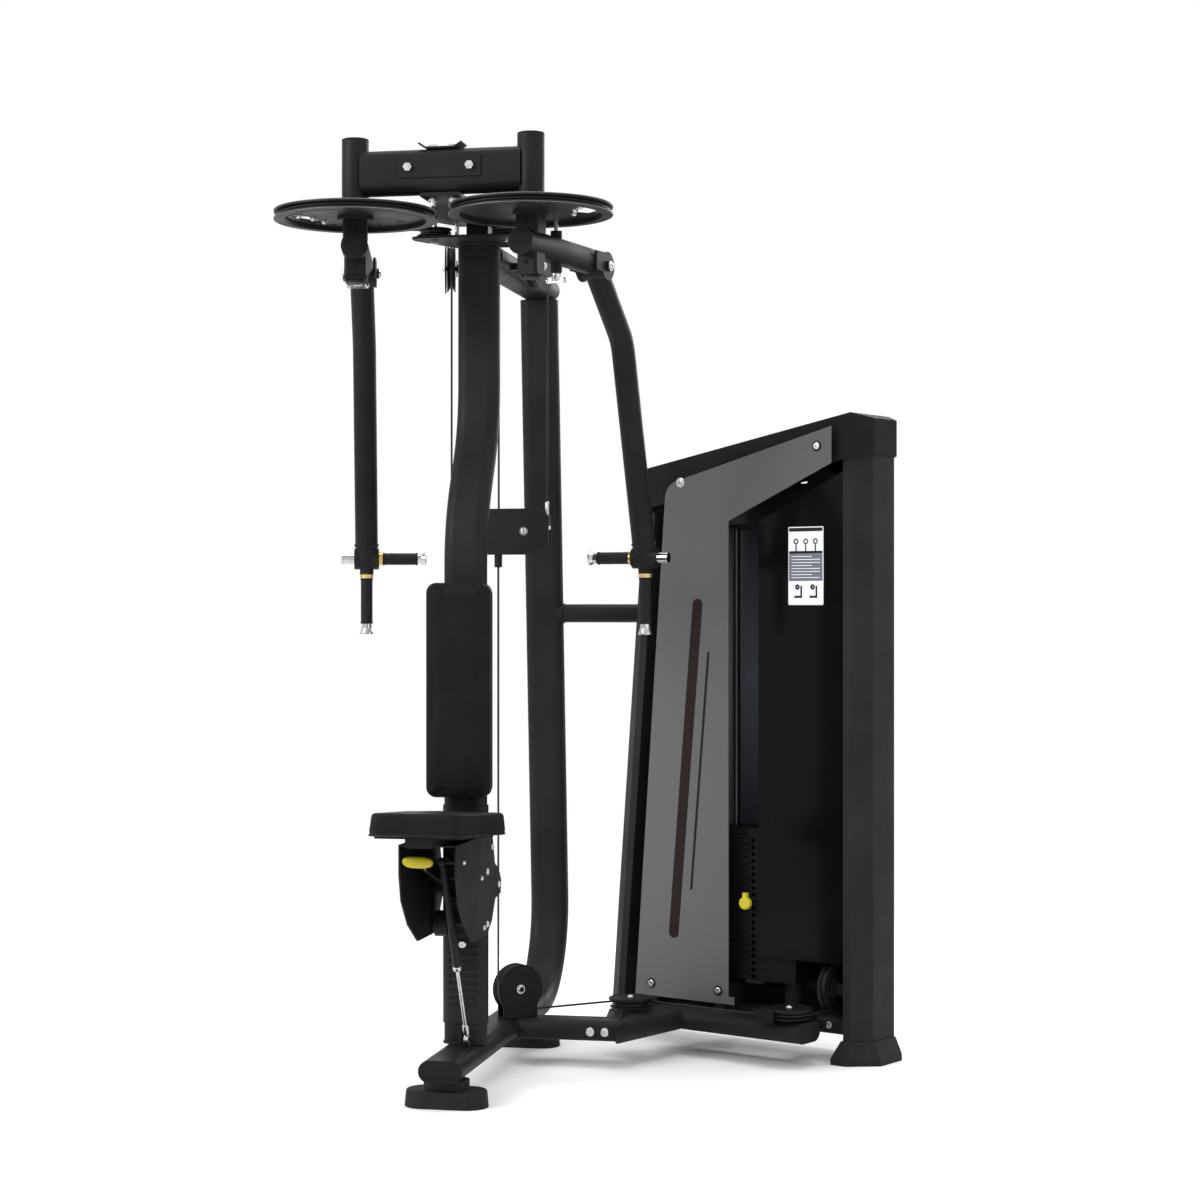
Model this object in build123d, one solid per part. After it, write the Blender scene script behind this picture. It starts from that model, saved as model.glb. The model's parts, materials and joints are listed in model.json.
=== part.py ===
from build123d import *
import os
from math import asin, atan2, cos, degrees, hypot, pi, radians, sin

# Pec deck machine with a weight stack tower, in millimetres, +Z up.
# The user sits facing -Y. X = 0 is the middle of the front column, and the
# arms turn about vertical pivots at X = +-PIVOT_X, Y = 0.
# write() moves everything by ORIGIN, so that the frame's origin is the middle
# of the machine's bounding box, on the floor.
ORIGIN = (271.92, 461.57)

# Flat oval frame tube
TUBE_W = 100.0
TUBE_D = 50.0
WALL = 3.0
FLOOR_GAP = 60.0
BEAM_Z = FLOOR_GAP + TUBE_D / 2
BEAM_TOP = FLOOR_GAP + TUBE_D
CLEAR = 0.4

# Columns
COLUMN_Y = 209.0
COLUMN_TOP_Y = 337.0
COLUMN_TOP_Z = 1960.0
BEND_LOW_Z = 1300.0
BEND_HIGH_Z = 1530.0
BEAM_FRONT_Y = -22.0
REAR_BEND_R = 240.0
REAR_FOOT_Y = 1143.0
REAR_LEAN = 4.76
REAR_TOP_Z = 1911.0

# Head: pivots, cams and plates
PIVOT_X = 200.0
PIVOT_TUBE_R = 30.0
PIVOT_BOTTOM_Z = 1995.0
PIVOT_TOP_Z = 2142.0
SHAFT_R = 15.0
RUNNING = 0.05
CAM_R = 180.0
CAM_GROOVE_R = 171.0
CAM_LOW_Z = 1967.0
CAM_HIGH_Z = 1988.0
CAM_FLANGE = 5.0
CAM_RIM_R = 157.0
CAM_WEB_Z = 1977.0
CABLE_R = 2.6
CABLE_Z = 1977.5
CROSSBAR_LOW_Z = 2020.0
CROSSBAR_HIGH_Z = 2118.0
PLATE_T = 8.0
REDIRECT = (88.0, 262.0)
REDIRECT_R = 36.0
TOP_PULLEY = (107.0, 490.0)
PULLEY_R = 57.0
PULLEY_GROOVE_R = 51.0

# Arms, as distance from the pivot and height
ARM_ANGLE = 14.2
ARM_Z = 1905.0
ARM_FRONT = -52.0
HINGE = (327.0, 1896.0)
ELBOW = (480.0, 1739.0)
WRIST = (613.0, 1228.0)
ARM_R = 28.0
POP_PIN_AT = 126.0
POP_PIN_R = 5.0
GRIP_R = 14.5
GRIP_L = 120.0

# Bolts of the cross tube and the rail cover
CROSS_BOLTS = (226.0, 262.0)
COVER_BOLT_Z = 339.0

# Seat
SEAT_FRONT_Y = -245.0
SEAT_BACK_Y = 116.0
SEAT_LOW_Z = 604.0
SEAT_T = 52.0
SEAT_TILT = 4.0
CARRIAGE_X = 61.0
SPRING_TOP = (18.0, -67.0, 552.0)
SPRING_EYE = (18.0, 150.0, 128.0)
LEVER_PIVOT = (95.0, 500.0)
SPRING_BORE_R = 8.4

# Weight stack tower, in its own directions: along the front and into the depth
TOWER_TURN = -26.5
TOWER_MID = 1066.0
UPRIGHT_TOP = 1478.0
LEFT_LEAN = 0.0792
LEFT_FOOT = -307.0
STACK_AT = 150.0
STACK_MID = 1060.0
STACK_W = 250.0
STACK_D = 108.0
PLATE_H = 16.6
PITCH = 17.0
STACK_LOW_Z = 176.0
RESTING = 11
LIFTED = 10
ROD_GAP = 88.0
ROD_R = 10.0

# Cable run from the yoke down to the floor, across to the tower and up to the stack
RISER_X = 0.0
RISER_Y = 530.0
MIDDLE_CABLE_Y = 535.0
YOKE_LOW_Z = 1236.0
YOKE_HIGH_Z = 1347.0
YOKE_BOLT = (66.0, 1292.0)
YOKE_DEPTHS = (518.0, 552.0)
FLOOR_PULLEY_Z = 180.0
FLOOR_PULLEY_R = 59.0
FLOOR_GROOVE_R = 53.0
FLOOR_RUN_Z = FLOOR_PULLEY_Z - FLOOR_GROOVE_R
CORNER_R = 52.0
CORNER_GROOVE_R = 45.0
INNER_CORNER = (-62.0, 778.0)
OUTER_CORNER = (337.0, 883.0)
TOWER_PULLEY_Z = 178.0
TOP_WHEEL_Z = 1392.0


def tower(shape):
    """Turn a solid built along X (front) and Y (depth) to stand in the tower's place."""
    return shape.rotate(Axis.Z, TOWER_TURN)


def tower_point(along, depth, z=0.0):
    c, s = cos(radians(TOWER_TURN)), sin(radians(TOWER_TURN))
    return Vector(along * c - depth * s, along * s + depth * c, z)


def flat_oval(width=TUBE_W, depth=TUBE_D, wall=WALL):
    outer = SlotOverall(width, depth)
    return outer - SlotOverall(width - 2 * wall, depth - 2 * wall)


def ring(outer, inner):
    return Circle(outer) - Circle(inner)


def cylinder(radius, start, end, bore=0.0):
    """A straight round bar or tube from one point to another."""
    start, end = Vector(*start), Vector(*end)
    plane = Plane(origin=start, z_dir=end - start)
    face = ring(radius, bore) if bore else Circle(radius)
    return extrude(plane * face, (end - start).length)


def block(low, high):
    size = [b - a for a, b in zip(low, high)]
    centre = [(a + b) / 2 for a, b in zip(low, high)]
    return Pos(*centre) * Box(*size)


def plate(points, low_z, thickness, radius=0.0):
    """A flat plate with a polygon outline, lying in XY."""
    face = make_face(Polyline(*points, close=True))
    if radius:
        face = fillet(face.vertices(), radius)
    return extrude(Plane.XY.offset(low_z) * face, thickness)


def tube_along(points, radii, face, x_dir=(1, 0, 0)):
    """Sweep a tube section along straight runs joined by arcs."""
    path = FilletPolyline(*points, radius=radii)
    start = Vector(*points[0])
    plane = Plane(origin=start, x_dir=x_dir, z_dir=Vector(*points[1]) - start)
    return sweep(plane * face, path=path)


def mirrored(shape):
    return mirror(shape, about=Plane.YZ)


def group(*solids):
    return Compound(children=[s for part in solids for s in part.solids()])


def pulley(radius, groove, width, bore, hub_r=0.0):
    """A grooved wheel about Z, centred on the origin."""
    half = width / 2
    lip = 1.6
    root_r = groove - CABLE_R - 0.3
    outline = [
        (bore, -half),
        (radius, -half),
        (radius, -half + lip),
        (root_r, -CABLE_R - 0.3),
        (root_r, CABLE_R + 0.3),
        (radius, half - lip),
        (radius, half),
        (bore, half),
    ]
    wheel = revolve(Plane.XZ * make_face(Polyline(*outline, close=True)), Axis.Z)
    if hub_r:
        for side in (-1, 1):
            recess = Pos(0, 0, side * half) * Cylinder(radius - 12, 5)
            boss = Pos(0, 0, side * half) * Cylinder(hub_r, 6)
            wheel = wheel - (recess - boss)
    return wheel


def button_bolt(head_r, head_h, shank_r, length):
    """A button head bolt along -Z with its head on top of the origin."""
    head = extrude(Circle(head_r), head_h)
    head = fillet(head.edges().group_by(Axis.Z)[-1], head_h * 0.6)
    socket = Pos(0, 0, head_h) * extrude(RegularPolygon(head_r * 0.42, 6), -head_h * 0.6)
    shank = Pos(0, 0, -length / 2) * Cylinder(shank_r, length)
    return head - socket + shank


def hex_bolt(head_r, head_h, shank_r, length):
    head = extrude(RegularPolygon(head_r, 6), head_h)
    shank = Pos(0, 0, -length / 2) * Cylinder(shank_r, length)
    return head + shank


def tangent_points(a, ra, b, rb, side_a, side_b):
    """Ends of the straight cable between two round grooves; side is +1 where it
    leaves the wheel on its left, looking from a to b."""
    dx, dy = b[0] - a[0], b[1] - a[1]
    far = hypot(dx, dy)
    turn = atan2(dy, dx) - asin((side_b * rb - side_a * ra) / far) * -1
    nx, ny = -sin(turn), cos(turn)
    start = (a[0] + side_a * ra * nx, a[1] + side_a * ra * ny)
    end = (b[0] + side_b * rb * nx, b[1] + side_b * rb * ny)
    return start, end


def crossing(p, along_p, q, along_q):
    """Where two straight lines in plan meet."""
    det = along_p[0] * along_q[1] - along_p[1] * along_q[0]
    t = ((q[0] - p[0]) * along_q[1] - (q[1] - p[1]) * along_q[0]) / det
    return (p[0] + t * along_p[0], p[1] + t * along_p[1])


# ---------------------------------------------------------------- frame


def base_beam(rear_y):
    tube = extrude(Plane.XZ.offset(-BEAM_FRONT_Y) * flat_oval(), -(rear_y - BEAM_FRONT_Y))
    return Pos(0, 0, BEAM_Z) * tube


def rear_corner():
    """Centre line points of the bent rear column: bottom start, corner and top."""
    lean = radians(REAR_LEAN)
    top_y = REAR_FOOT_Y - (REAR_TOP_Z + 40 - BEAM_Z) * sin(lean) / cos(lean)
    back = REAR_BEND_R * cos(lean / 2 + pi / 4) ** -1 * sin(lean / 2 + pi / 4)
    return REAR_FOOT_Y - back, top_y


def rear_column(wall=WALL):
    start_y, top_y = rear_corner()
    points = [(0, start_y - 1, BEAM_Z), (0, REAR_FOOT_Y, BEAM_Z), (0, top_y, REAR_TOP_Z + 40)]
    outer = tube_along(points, REAR_BEND_R, SlotOverall(TUBE_W, TUBE_D))
    if wall:
        inner = SlotOverall(TUBE_W - 2 * wall, TUBE_D - 2 * wall)
        outer = outer - tube_along(points, REAR_BEND_R, inner)
    return outer - block((-80, 0, REAR_TOP_Z), (80, 1200, REAR_TOP_Z + 120))


def column_path():
    return [
        (0, COLUMN_Y, BEAM_TOP),
        (0, COLUMN_Y, BEND_LOW_Z),
        (0, COLUMN_TOP_Y, BEND_HIGH_Z),
        (0, COLUMN_TOP_Y, COLUMN_TOP_Z),
    ]


def front_column():
    outer = tube_along(column_path(), 380, SlotOverall(TUBE_W, TUBE_D))
    inner = tube_along(column_path(), 380, SlotOverall(TUBE_W - 2 * WALL, TUBE_D - 2 * WALL))
    x, y, z = SPRING_EYE
    lug = block((x - 17, y - 9, z - 10), (x - 11, 186, z + 12))
    pin = cylinder(4, (x - 14, y, z), (x + 13, y, z))
    return (outer - inner - cover_bolt_hole()) + lug + pin


def cover_bolt_hole():
    return cylinder(5, (0, 170, COVER_BOLT_Z), (0, 201, COVER_BOLT_Z))


def rail_cover():
    sleeve = extrude(SlotOverall(106, 56) - SlotOverall(100.8, 50.8), 498)
    sleeve = Pos(0, COLUMN_Y, 157) * sleeve
    for i in range(17):
        z = 200 + 17 * i
        sleeve -= block((-32, COLUMN_Y - 30, z - 4), (32, COLUMN_Y - 22, z + 4))
    return sleeve - cover_bolt_hole()


def top_link_tube():
    tube = extrude(Plane.XZ.offset(-362) * flat_oval(), -650)
    return Pos(0, 0, 1937) * tube - block((-60, 350, COLUMN_TOP_Z), (60, 402, COLUMN_TOP_Z + 10))


def head_outline(tongue):
    outline = [(120, 226), (136, 240), (136, 266), (60, 400)]
    if tongue:
        outline = [(45, -26), (45, 130)] + outline
    return outline + [(-x, y) for x, y in reversed(outline)]


def redirect_hole(low_z):
    hole = Pos(REDIRECT[0], REDIRECT[1], low_z) * Cylinder(6, 30)
    return hole + mirrored(hole)


def head_plates():
    """Lower and upper head plates, their spacer, and the crossbar's two plates."""
    lower = plate(head_outline(False), COLUMN_TOP_Z, 6) - redirect_hole(COLUMN_TOP_Z)
    upper = plate(head_outline(True), CROSSBAR_LOW_Z - PLATE_T, PLATE_T) - redirect_hole(2016)
    for x in (-22, 22):
        upper -= Pos(x, 0, 2016) * Cylinder(6, 30)
    spacer = block((-26, 318, 1966), (26, 388, 2012))
    doubler = block((-94, -33, 2053), (94, -30, 2100))
    for x in (-70, 70):
        doubler -= cylinder(6, (x, -40, 2076), (x, -20, 2076))
    top = block((-32, -24, 2118), (32, 24, 2122))
    wing = make_face(Polyline((32, 2118), (50, 2129), (48, 2132.5), (32, 2122), close=True))
    wing = extrude(Plane.XZ.offset(-24) * wing, 48)
    top = top + wing + mirrored(wing)
    for x in (-22, 22):
        top -= Pos(x, 0, 2120) * Cylinder(6, 20)
    return group(lower, upper, spacer, doubler, top)


def crossbar():
    high = CROSSBAR_HIGH_Z - CROSSBAR_LOW_Z
    face = RectangleRounded(60, high, 22) - RectangleRounded(52, high - 8, 18)
    bar = extrude(Plane.YZ.offset(-182) * face, 364)
    bar = Pos(0, 0, (CROSSBAR_HIGH_Z + CROSSBAR_LOW_Z) / 2) * bar
    for x in (-PIVOT_X, PIVOT_X):
        bar -= Pos(x, 0, 2070) * Cylinder(PIVOT_TUBE_R, 160)
    for x in (-22, 22):
        bar -= Pos(x, 0, 2070) * Cylinder(6, 160)
    for x in (-70, 70):
        bar -= cylinder(6, (x, -50, 2076), (x, 50, 2076))
    return bar


def pivot_tubes():
    tube = extrude(ring(PIVOT_TUBE_R, 26), PIVOT_TOP_Z - PIVOT_BOTTOM_Z)
    tube = Pos(PIVOT_X, 0, PIVOT_BOTTOM_Z) * tube
    return group(tube, mirrored(tube))


def pivot_bushes():
    bush = extrude(ring(26, SHAFT_R + RUNNING), 24)
    low = Pos(PIVOT_X, 0, PIVOT_BOTTOM_Z) * bush
    high = Pos(PIVOT_X, 0, PIVOT_TOP_Z - 30) * bush
    return group(low, high, mirrored(low), mirrored(high))


def end_caps():
    """Plastic plugs on the open ends of the frame tubes."""
    oval = extrude(SlotOverall(TUBE_W, TUBE_D), 3)
    oval = fillet(oval.edges().group_by(Axis.Z)[-1], 1.5)
    front = Plane((0, BEAM_FRONT_Y, BEAM_Z), x_dir=(1, 0, 0), z_dir=(0, -1, 0)) * oval
    rear = Plane((0, 1012, 1937), x_dir=(1, 0, 0), z_dir=(0, 1, 0)) * oval
    lid = fillet(Cylinder(PIVOT_TUBE_R, 6).edges().group_by(Axis.Z)[-1], 2.5)
    lid = Pos(PIVOT_X, 0, PIVOT_TOP_Z + 3) * lid
    beam_end = Plane((385, 892, BEAM_Z), x_dir=(0, 1, 0), z_dir=(1, 0, 0)) * oval
    beam_end = tower(beam_end)
    return group(front, rear, lid, mirrored(lid), beam_end)


def rubber_foot():
    base = extrude(SlotOverall(190, 95), 38, taper=5)
    base = fillet(base.edges().group_by(Axis.Z)[-1], 6)
    plinth = Pos(0, 0, 38) * extrude(SlotOverall(104, 62), FLOOR_GAP - 38)
    foot = base + plinth
    return foot - Pos(0, 0, BEAM_Z) * Rot(90, 0, 0) * extrude(SlotOverall(TUBE_W, TUBE_D), 80, both=True)


def rubber_feet():
    return group(Pos(0, 36, 0) * rubber_foot(), Pos(0, 800, 0) * rubber_foot())


def oval_bar(length, wall=WALL):
    """A flat oval tube lying flat along +X from the origin."""
    face = flat_oval(wall=wall) if wall else SlotOverall(TUBE_W, TUBE_D)
    return extrude(Plane.YZ * face, length)


def cross_tube():
    tube = Pos(30, 585, BEAM_Z) * oval_bar(263)
    beam = Pos(0, 0, BEAM_Z) * extrude(Plane.XZ * SlotOverall(TUBE_W, TUBE_D), -900)
    tube = tube - beam
    end = Pos(290, 585, BEAM_Z) * extrude(Plane.YZ * SlotOverall(TUBE_W - 6, TUBE_D - 6), 3)
    tube = tube.solids().sort_by(Axis.X)[-1] + end
    for x in CROSS_BOLTS:
        tube -= cylinder(6, (x, 525, BEAM_Z), (x, 566, BEAM_Z))
        tube -= cylinder(11.2, (x, 525, BEAM_Z), (x, 537, BEAM_Z))
    return tube


def floor_beam():
    """The tower's front beam with the tube that joins it to the cross tube."""
    beam = Pos(-52, 892, BEAM_Z) * oval_bar(437)
    link = Pos(0, 870, BEAM_Z) * Rot(0, 0, -90) * oval_bar(300)
    link_core = Pos(0, 850, BEAM_Z) * Rot(0, 0, -90) * oval_bar(300, 0)
    beam_core = Pos(-60, 892, BEAM_Z) * oval_bar(460, 0)
    beam = beam + (link - beam_core)
    beam = tower(beam)
    return beam - block((-50, 300, 0), (296, 1200, 200))


# ---------------------------------------------------------------- tower

def upright_outline(grow=0.0):
    """Section of an upright in tower directions, seen from above, flat side out."""
    near, far, mid = 428 - grow, 492 + grow, TOWER_MID
    return [
        (near, mid - 85 - grow),
        (449, mid - 85 - grow),
        (far, mid - 49),
        (far, mid + 49),
        (449, mid + 85 + grow),
        (near, mid + 85 + grow),
    ]


def upright_face(grow=0.0, wall=0.0):
    face = make_face(Polyline(*upright_outline(grow), close=True))
    if wall:
        face -= offset(face, -wall)
    return face


def left_upright(wall):
    """The right upright's section turned round, leaning in towards its top."""
    face = mirror(upright_face(0, wall), about=Plane.YZ)
    face = Pos(492 + LEFT_FOOT + LEFT_LEAN * 40, 0, 40) * face
    return extrude(face, (1352 - 40) * hypot(1, LEFT_LEAN), dir=(LEFT_LEAN, 0, 1))


def tower_uprights():
    right = Pos(0, 0, 40) * extrude(upright_face(0, 3), UPRIGHT_TOP - 40)
    return group(tower(right), tower(left_upright(3)))


def tower_foot():
    rim = extrude(upright_face(22), 16)
    low = Pos(0, 0, 16) * upright_face(22)
    top = Pos(0, 0, 56) * upright_face(4)
    foot = rim + loft([low, top])
    return foot - Pos(0, 0, 40) * extrude(upright_face(0), 40)


def tower_feet():
    right = tower_foot()
    left = Pos(492 + LEFT_FOOT, 0, 0) * mirror(tower_foot(), about=Plane.YZ)
    left = left - left_upright_core()
    return group(tower(right), tower(left))


def left_upright_core():
    face = mirror(upright_face(0.3), about=Plane.YZ)
    face = Pos(492 + LEFT_FOOT + LEFT_LEAN * 40, 0, 40) * face
    return extrude(face, 60, dir=(LEFT_LEAN, 0, 1))


def cap_side(inset=0.0, drop=0.0):
    """The cap's outline seen from the front: its top edge slopes with the panel."""
    left, right = -214 + inset, 497 - inset
    slope = (1479 - 1354) / 710
    low_left = 1353 - drop
    low_right = 1353 + (right - left) * slope - drop
    return [
        (left, low_left),
        (left + 12, 1430 - inset),
        (left + 44, 1463 - inset),
        (452, 1580 - inset),
        (right, 1566 - inset),
        (right, low_right),
    ]


def cap_plan(inset=0.0):
    left, right = -220, 497 - inset
    near, far = TOWER_MID - 91 + inset, TOWER_MID + 91 - inset
    return [
        (left, near + 26),
        (-180, near),
        (452, near),
        (right, near + 38),
        (right, far - 38),
        (452, far),
        (-180, far),
        (left, far - 26),
    ]


def cap_body(inset, drop):
    side = Plane.XZ.offset(-900) * make_face(Polyline(*cap_side(inset, drop), close=True))
    side = extrude(side, -300)
    plan = plate(cap_plan(inset), 1300, 400)
    return side & plan


def tower_cap():
    return tower(cap_body(0, 0) - cap_body(3, 20))


def tower_rails():
    """Lower rail, its two links to the front beam, top rail and the round brace."""
    low = Pos(-232, TOWER_MID, BEAM_Z) * oval_bar(660)
    for along in (-15, 300):
        link = block((along - 25, 930, 64), (along + 25, 1040, 106))
        low = low + link
    for along in (-127, 80):
        low = low + block((along - 14, 957, 96), (along + 14, 1036, 164))
    low = low - Pos(-60, 892, BEAM_Z) * oval_bar(460, 0)
    for along, z in panel_bolts()[2:] + [(368, 85)]:
        low = low - cylinder(5, (along, 940, z), (along, 1040, z))
    top = block((-132, 1030, 1308), (428, 1094, 1318))
    for along in (STACK_AT, 382):
        top -= Pos(along, STACK_MID, 1313) * Cylinder(9, 20)
    brace = cylinder(24, (30, 1056, 1093), (275, 1056, 1093), 21)
    brace = (brace - rear_column(0) - tower(left_upright(0))).solids().sort_by(Axis.X)[-1]
    return group(tower(low), tower(top), brace)


def side_panel():
    """Grey front panel: full height at the left, an arm across the top."""
    outline = [
        (-178, 117),
        (-82, 1420),
        (411, 1547),
        (411, 1458),
        (110, 1324),
        (110, 136),
        (127, 136),
        (127, 117),
    ]
    face = make_face(Polyline(*outline, close=True))
    corner = face.vertices().sort_by(Axis.Y)
    face = fillet([v for v in corner if abs(v.X + 82) < 1], 46)
    sheet = extrude(Plane.XZ.offset(-953) * face, -4)
    for along, z in panel_bolts():
        sheet -= cylinder(5, (along, 940, z), (along, 970, z))
    return tower(sheet)


def panel_bolts():
    return [(-36, 1424), (371, 1500), (-127, 149), (80, 149)]


def front_shroud():
    outline = [(180, 240), (180, 1322), (250, 1354), (428, 1440), (428, 240)]
    face = make_face(Polyline(*outline, close=True))
    sheet = extrude(Plane.XZ.offset(-984) * face, -4)
    fold = block((180, 988, 240), (184, 1000, 1320))
    return tower(sheet + fold)


def rear_shroud():
    outline = [(-224, 134), (-134, 1352), (428, 1455), (428, 134)]
    face = make_face(Polyline(*outline, close=True))
    face = fillet(face.vertices(), 8)
    sheet = extrude(Plane.XZ.offset(-1143) * face, -4)
    return tower(sheet)


def guide_rods():
    rods = [Pos(STACK_AT + s * ROD_GAP, STACK_MID, 709) * Cylinder(ROD_R, 1198) for s in (-1, 1)]
    return group(*[tower(rod) for rod in rods])


def weight_plate(low_z, height=PLATE_H, stem_r=13.5, pin_hole=True):
    body = block(
        (STACK_AT - STACK_W / 2, STACK_MID - STACK_D / 2, low_z),
        (STACK_AT + STACK_W / 2, STACK_MID + STACK_D / 2, low_z + height),
    )
    body = fillet(body.edges().filter_by(Axis.Z), 8)
    body -= Pos(STACK_AT, STACK_MID, low_z) * Cylinder(stem_r, 80)
    for side in (-1, 1):
        body -= Pos(STACK_AT + side * ROD_GAP, STACK_MID, low_z) * Cylinder(ROD_R + 0.8, 80)
    if pin_hole:
        z = low_z + height / 2
        body -= cylinder(5.6, (STACK_AT, 900, z), (STACK_AT, STACK_MID, z))
    return tower(body)


def resting_plates():
    return group(*[weight_plate(STACK_LOW_Z + PITCH * i) for i in range(RESTING)])


def lifted_low_z():
    return STACK_LOW_Z + PITCH * RESTING


def lifted_plates():
    low_z = lifted_low_z()
    plates = [weight_plate(low_z + PITCH * i) for i in range(LIFTED)]
    top = weight_plate(low_z + PITCH * LIFTED, 22, 11, False)
    return group(*plates, top)


def selector_stem():
    rod = Pos(STACK_AT, STACK_MID, 390) * Cylinder(11, 420)
    for i in range(RESTING + LIFTED):
        z = STACK_LOW_Z + PITCH * i + PLATE_H / 2
        rod -= cylinder(5.6, (STACK_AT, STACK_MID - 20, z), (STACK_AT, STACK_MID + 20, z))
    eye = Pos(STACK_AT, STACK_MID, 610) * Cylinder(8, 20)
    return tower(rod + eye)


def selector_pin():
    z = lifted_low_z() + PLATE_H / 2
    rod = cylinder(5, (STACK_AT, 975, z), (STACK_AT, STACK_MID + 12.2, z))
    knob = cylinder(16, (STACK_AT, 962, z), (STACK_AT, 980, z))
    knob = fillet(knob.edges().filter_by(GeomType.CIRCLE), 6)
    tab = block((STACK_AT - 6, 966, z + 10), (STACK_AT + 6, 976, z + 26))
    return tower(rod + knob + tab)


def stack_bumpers():
    ring_solid = extrude(ring(24, ROD_R + 0.3), STACK_LOW_Z - 111)
    rings = [Pos(STACK_AT + s * ROD_GAP, STACK_MID, 110.5) * ring_solid for s in (-1, 1)]
    return group(*[tower(r) for r in rings])


# ---------------------------------------------------------------- cable and pulleys

def plan(point):
    """A tower place as an ordinary plan point."""
    p = tower_point(*point)
    return (p.X, p.Y)


def direction(a, b):
    far = hypot(b[0] - a[0], b[1] - a[1])
    return ((b[0] - a[0]) / far, (b[1] - a[1]) / far)


def floor_route():
    """Straight stretches of the floor cable: from the riser to the tower pulley."""
    inner, outer = plan(INNER_CORNER), plan(OUTER_CORNER)
    riser = (RISER_X, RISER_Y)
    first = tangent_points(riser, 0, inner, CORNER_GROOVE_R, 0, 1)
    second = tangent_points(inner, CORNER_GROOVE_R, outer, CORNER_GROOVE_R, 1, -1)
    turn_foot = plan((OUTER_CORNER[0] + CORNER_GROOVE_R, STACK_MID))
    third_way = direction(plan((0, 0)), plan((0, 1)))
    return riser, first, second, turn_foot, third_way


def floor_direction():
    riser, first, second, foot, way = floor_route()
    return direction(*first)


def floor_pulley_place():
    """Plane of the floor pulley: its axle is level and square to the cable."""
    dx, dy = floor_direction()
    centre = Vector(RISER_X + FLOOR_GROOVE_R * dx, RISER_Y + FLOOR_GROOVE_R * dy, FLOOR_PULLEY_Z)
    return Plane(origin=centre, x_dir=(dx, dy, 0), z_dir=(dy, -dx, 0))


def fixed_main_cable():
    riser, first, second, foot, way = floor_route()
    one = crossing(first[0], direction(*first), second[0], direction(*second))
    two = crossing(second[0], direction(*second), foot, way)
    high = TOP_WHEEL_Z + PULLEY_GROOVE_R
    down = plan((STACK_AT, STACK_MID))
    points = [
        (*riser, FLOOR_PULLEY_Z + 1),
        (*riser, FLOOR_RUN_Z),
        (*one, FLOOR_RUN_Z),
        (*two, FLOOR_RUN_Z),
        (*foot, FLOOR_RUN_Z),
        (*foot, high),
        (*down, high),
        (*down, TOP_WHEEL_Z - 1),
    ]
    radii = [FLOOR_GROOVE_R, CORNER_GROOVE_R, CORNER_GROOVE_R] + [PULLEY_GROOVE_R] * 3
    return tube_along(points, radii, Circle(CABLE_R), (0, 1, 0))


def head_cable_route():
    """Plan of the right cable: cam, redirect wheel, then the splayed top pulley."""
    cam, wheel = (PIVOT_X, 0.0), REDIRECT
    first = tangent_points(cam, CAM_GROOVE_R, wheel, REDIRECT_R, -1, 1)
    second = tangent_points(wheel, REDIRECT_R, TOP_PULLEY, 0, 1, 0)
    return first, second


def top_pulley_direction():
    first, second = head_cable_route()
    return direction(*second)


def head_cable():
    first, second = head_cable_route()
    dx, dy = direction(*second)
    corner = crossing(first[0], direction(*first), second[0], direction(*second))
    end = (TOP_PULLEY[0] + PULLEY_GROOVE_R * dx, TOP_PULLEY[1] + PULLEY_GROOVE_R * dy)
    points = [
        (*first[0], CABLE_Z),
        (*corner, CABLE_Z),
        (*end, CABLE_Z),
        (*end, CABLE_Z - PULLEY_GROOVE_R - 1),
    ]
    return tube_along(points, [REDIRECT_R, PULLEY_GROOVE_R], Circle(CABLE_R), (0, 0, 1)), end


def fixed_cables():
    right, end = head_cable()
    return group(fixed_main_cable(), right, mirrored(right))


def drop_cables():
    right, end = head_cable()
    top_z = CABLE_Z - PULLEY_GROOVE_R - 1.2
    cable = cylinder(CABLE_R, (*end, YOKE_HIGH_Z - 16), (*end, top_z))
    middle = cylinder(CABLE_R, (0, MIDDLE_CABLE_Y, YOKE_LOW_Z + 25), (0, MIDDLE_CABLE_Y, 1911.5))
    return group(cable, mirrored(cable), middle)


def riser_cable():
    return cylinder(CABLE_R, (RISER_X, RISER_Y, FLOOR_PULLEY_Z + 1.2), (RISER_X, RISER_Y, YOKE_LOW_Z + 9))


def stack_cable():
    x, y = plan((STACK_AT, STACK_MID))
    return cylinder(CABLE_R, (x, y, 620.5), (x, y, TOP_WHEEL_Z - 1.2))


def yoke_plate(depth):
    low, high = YOKE_LOW_Z, YOKE_HIGH_Z
    outline = [(-96, low), (96, low), (127, low + 17), (127, high - 17), (96, high), (-96, high)]
    outline += [(-127, high - 17), (-127, low + 17)]
    face = Plane.XZ.offset(-depth) * make_face(Polyline(*outline, close=True))
    return extrude(face, -4)


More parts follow.
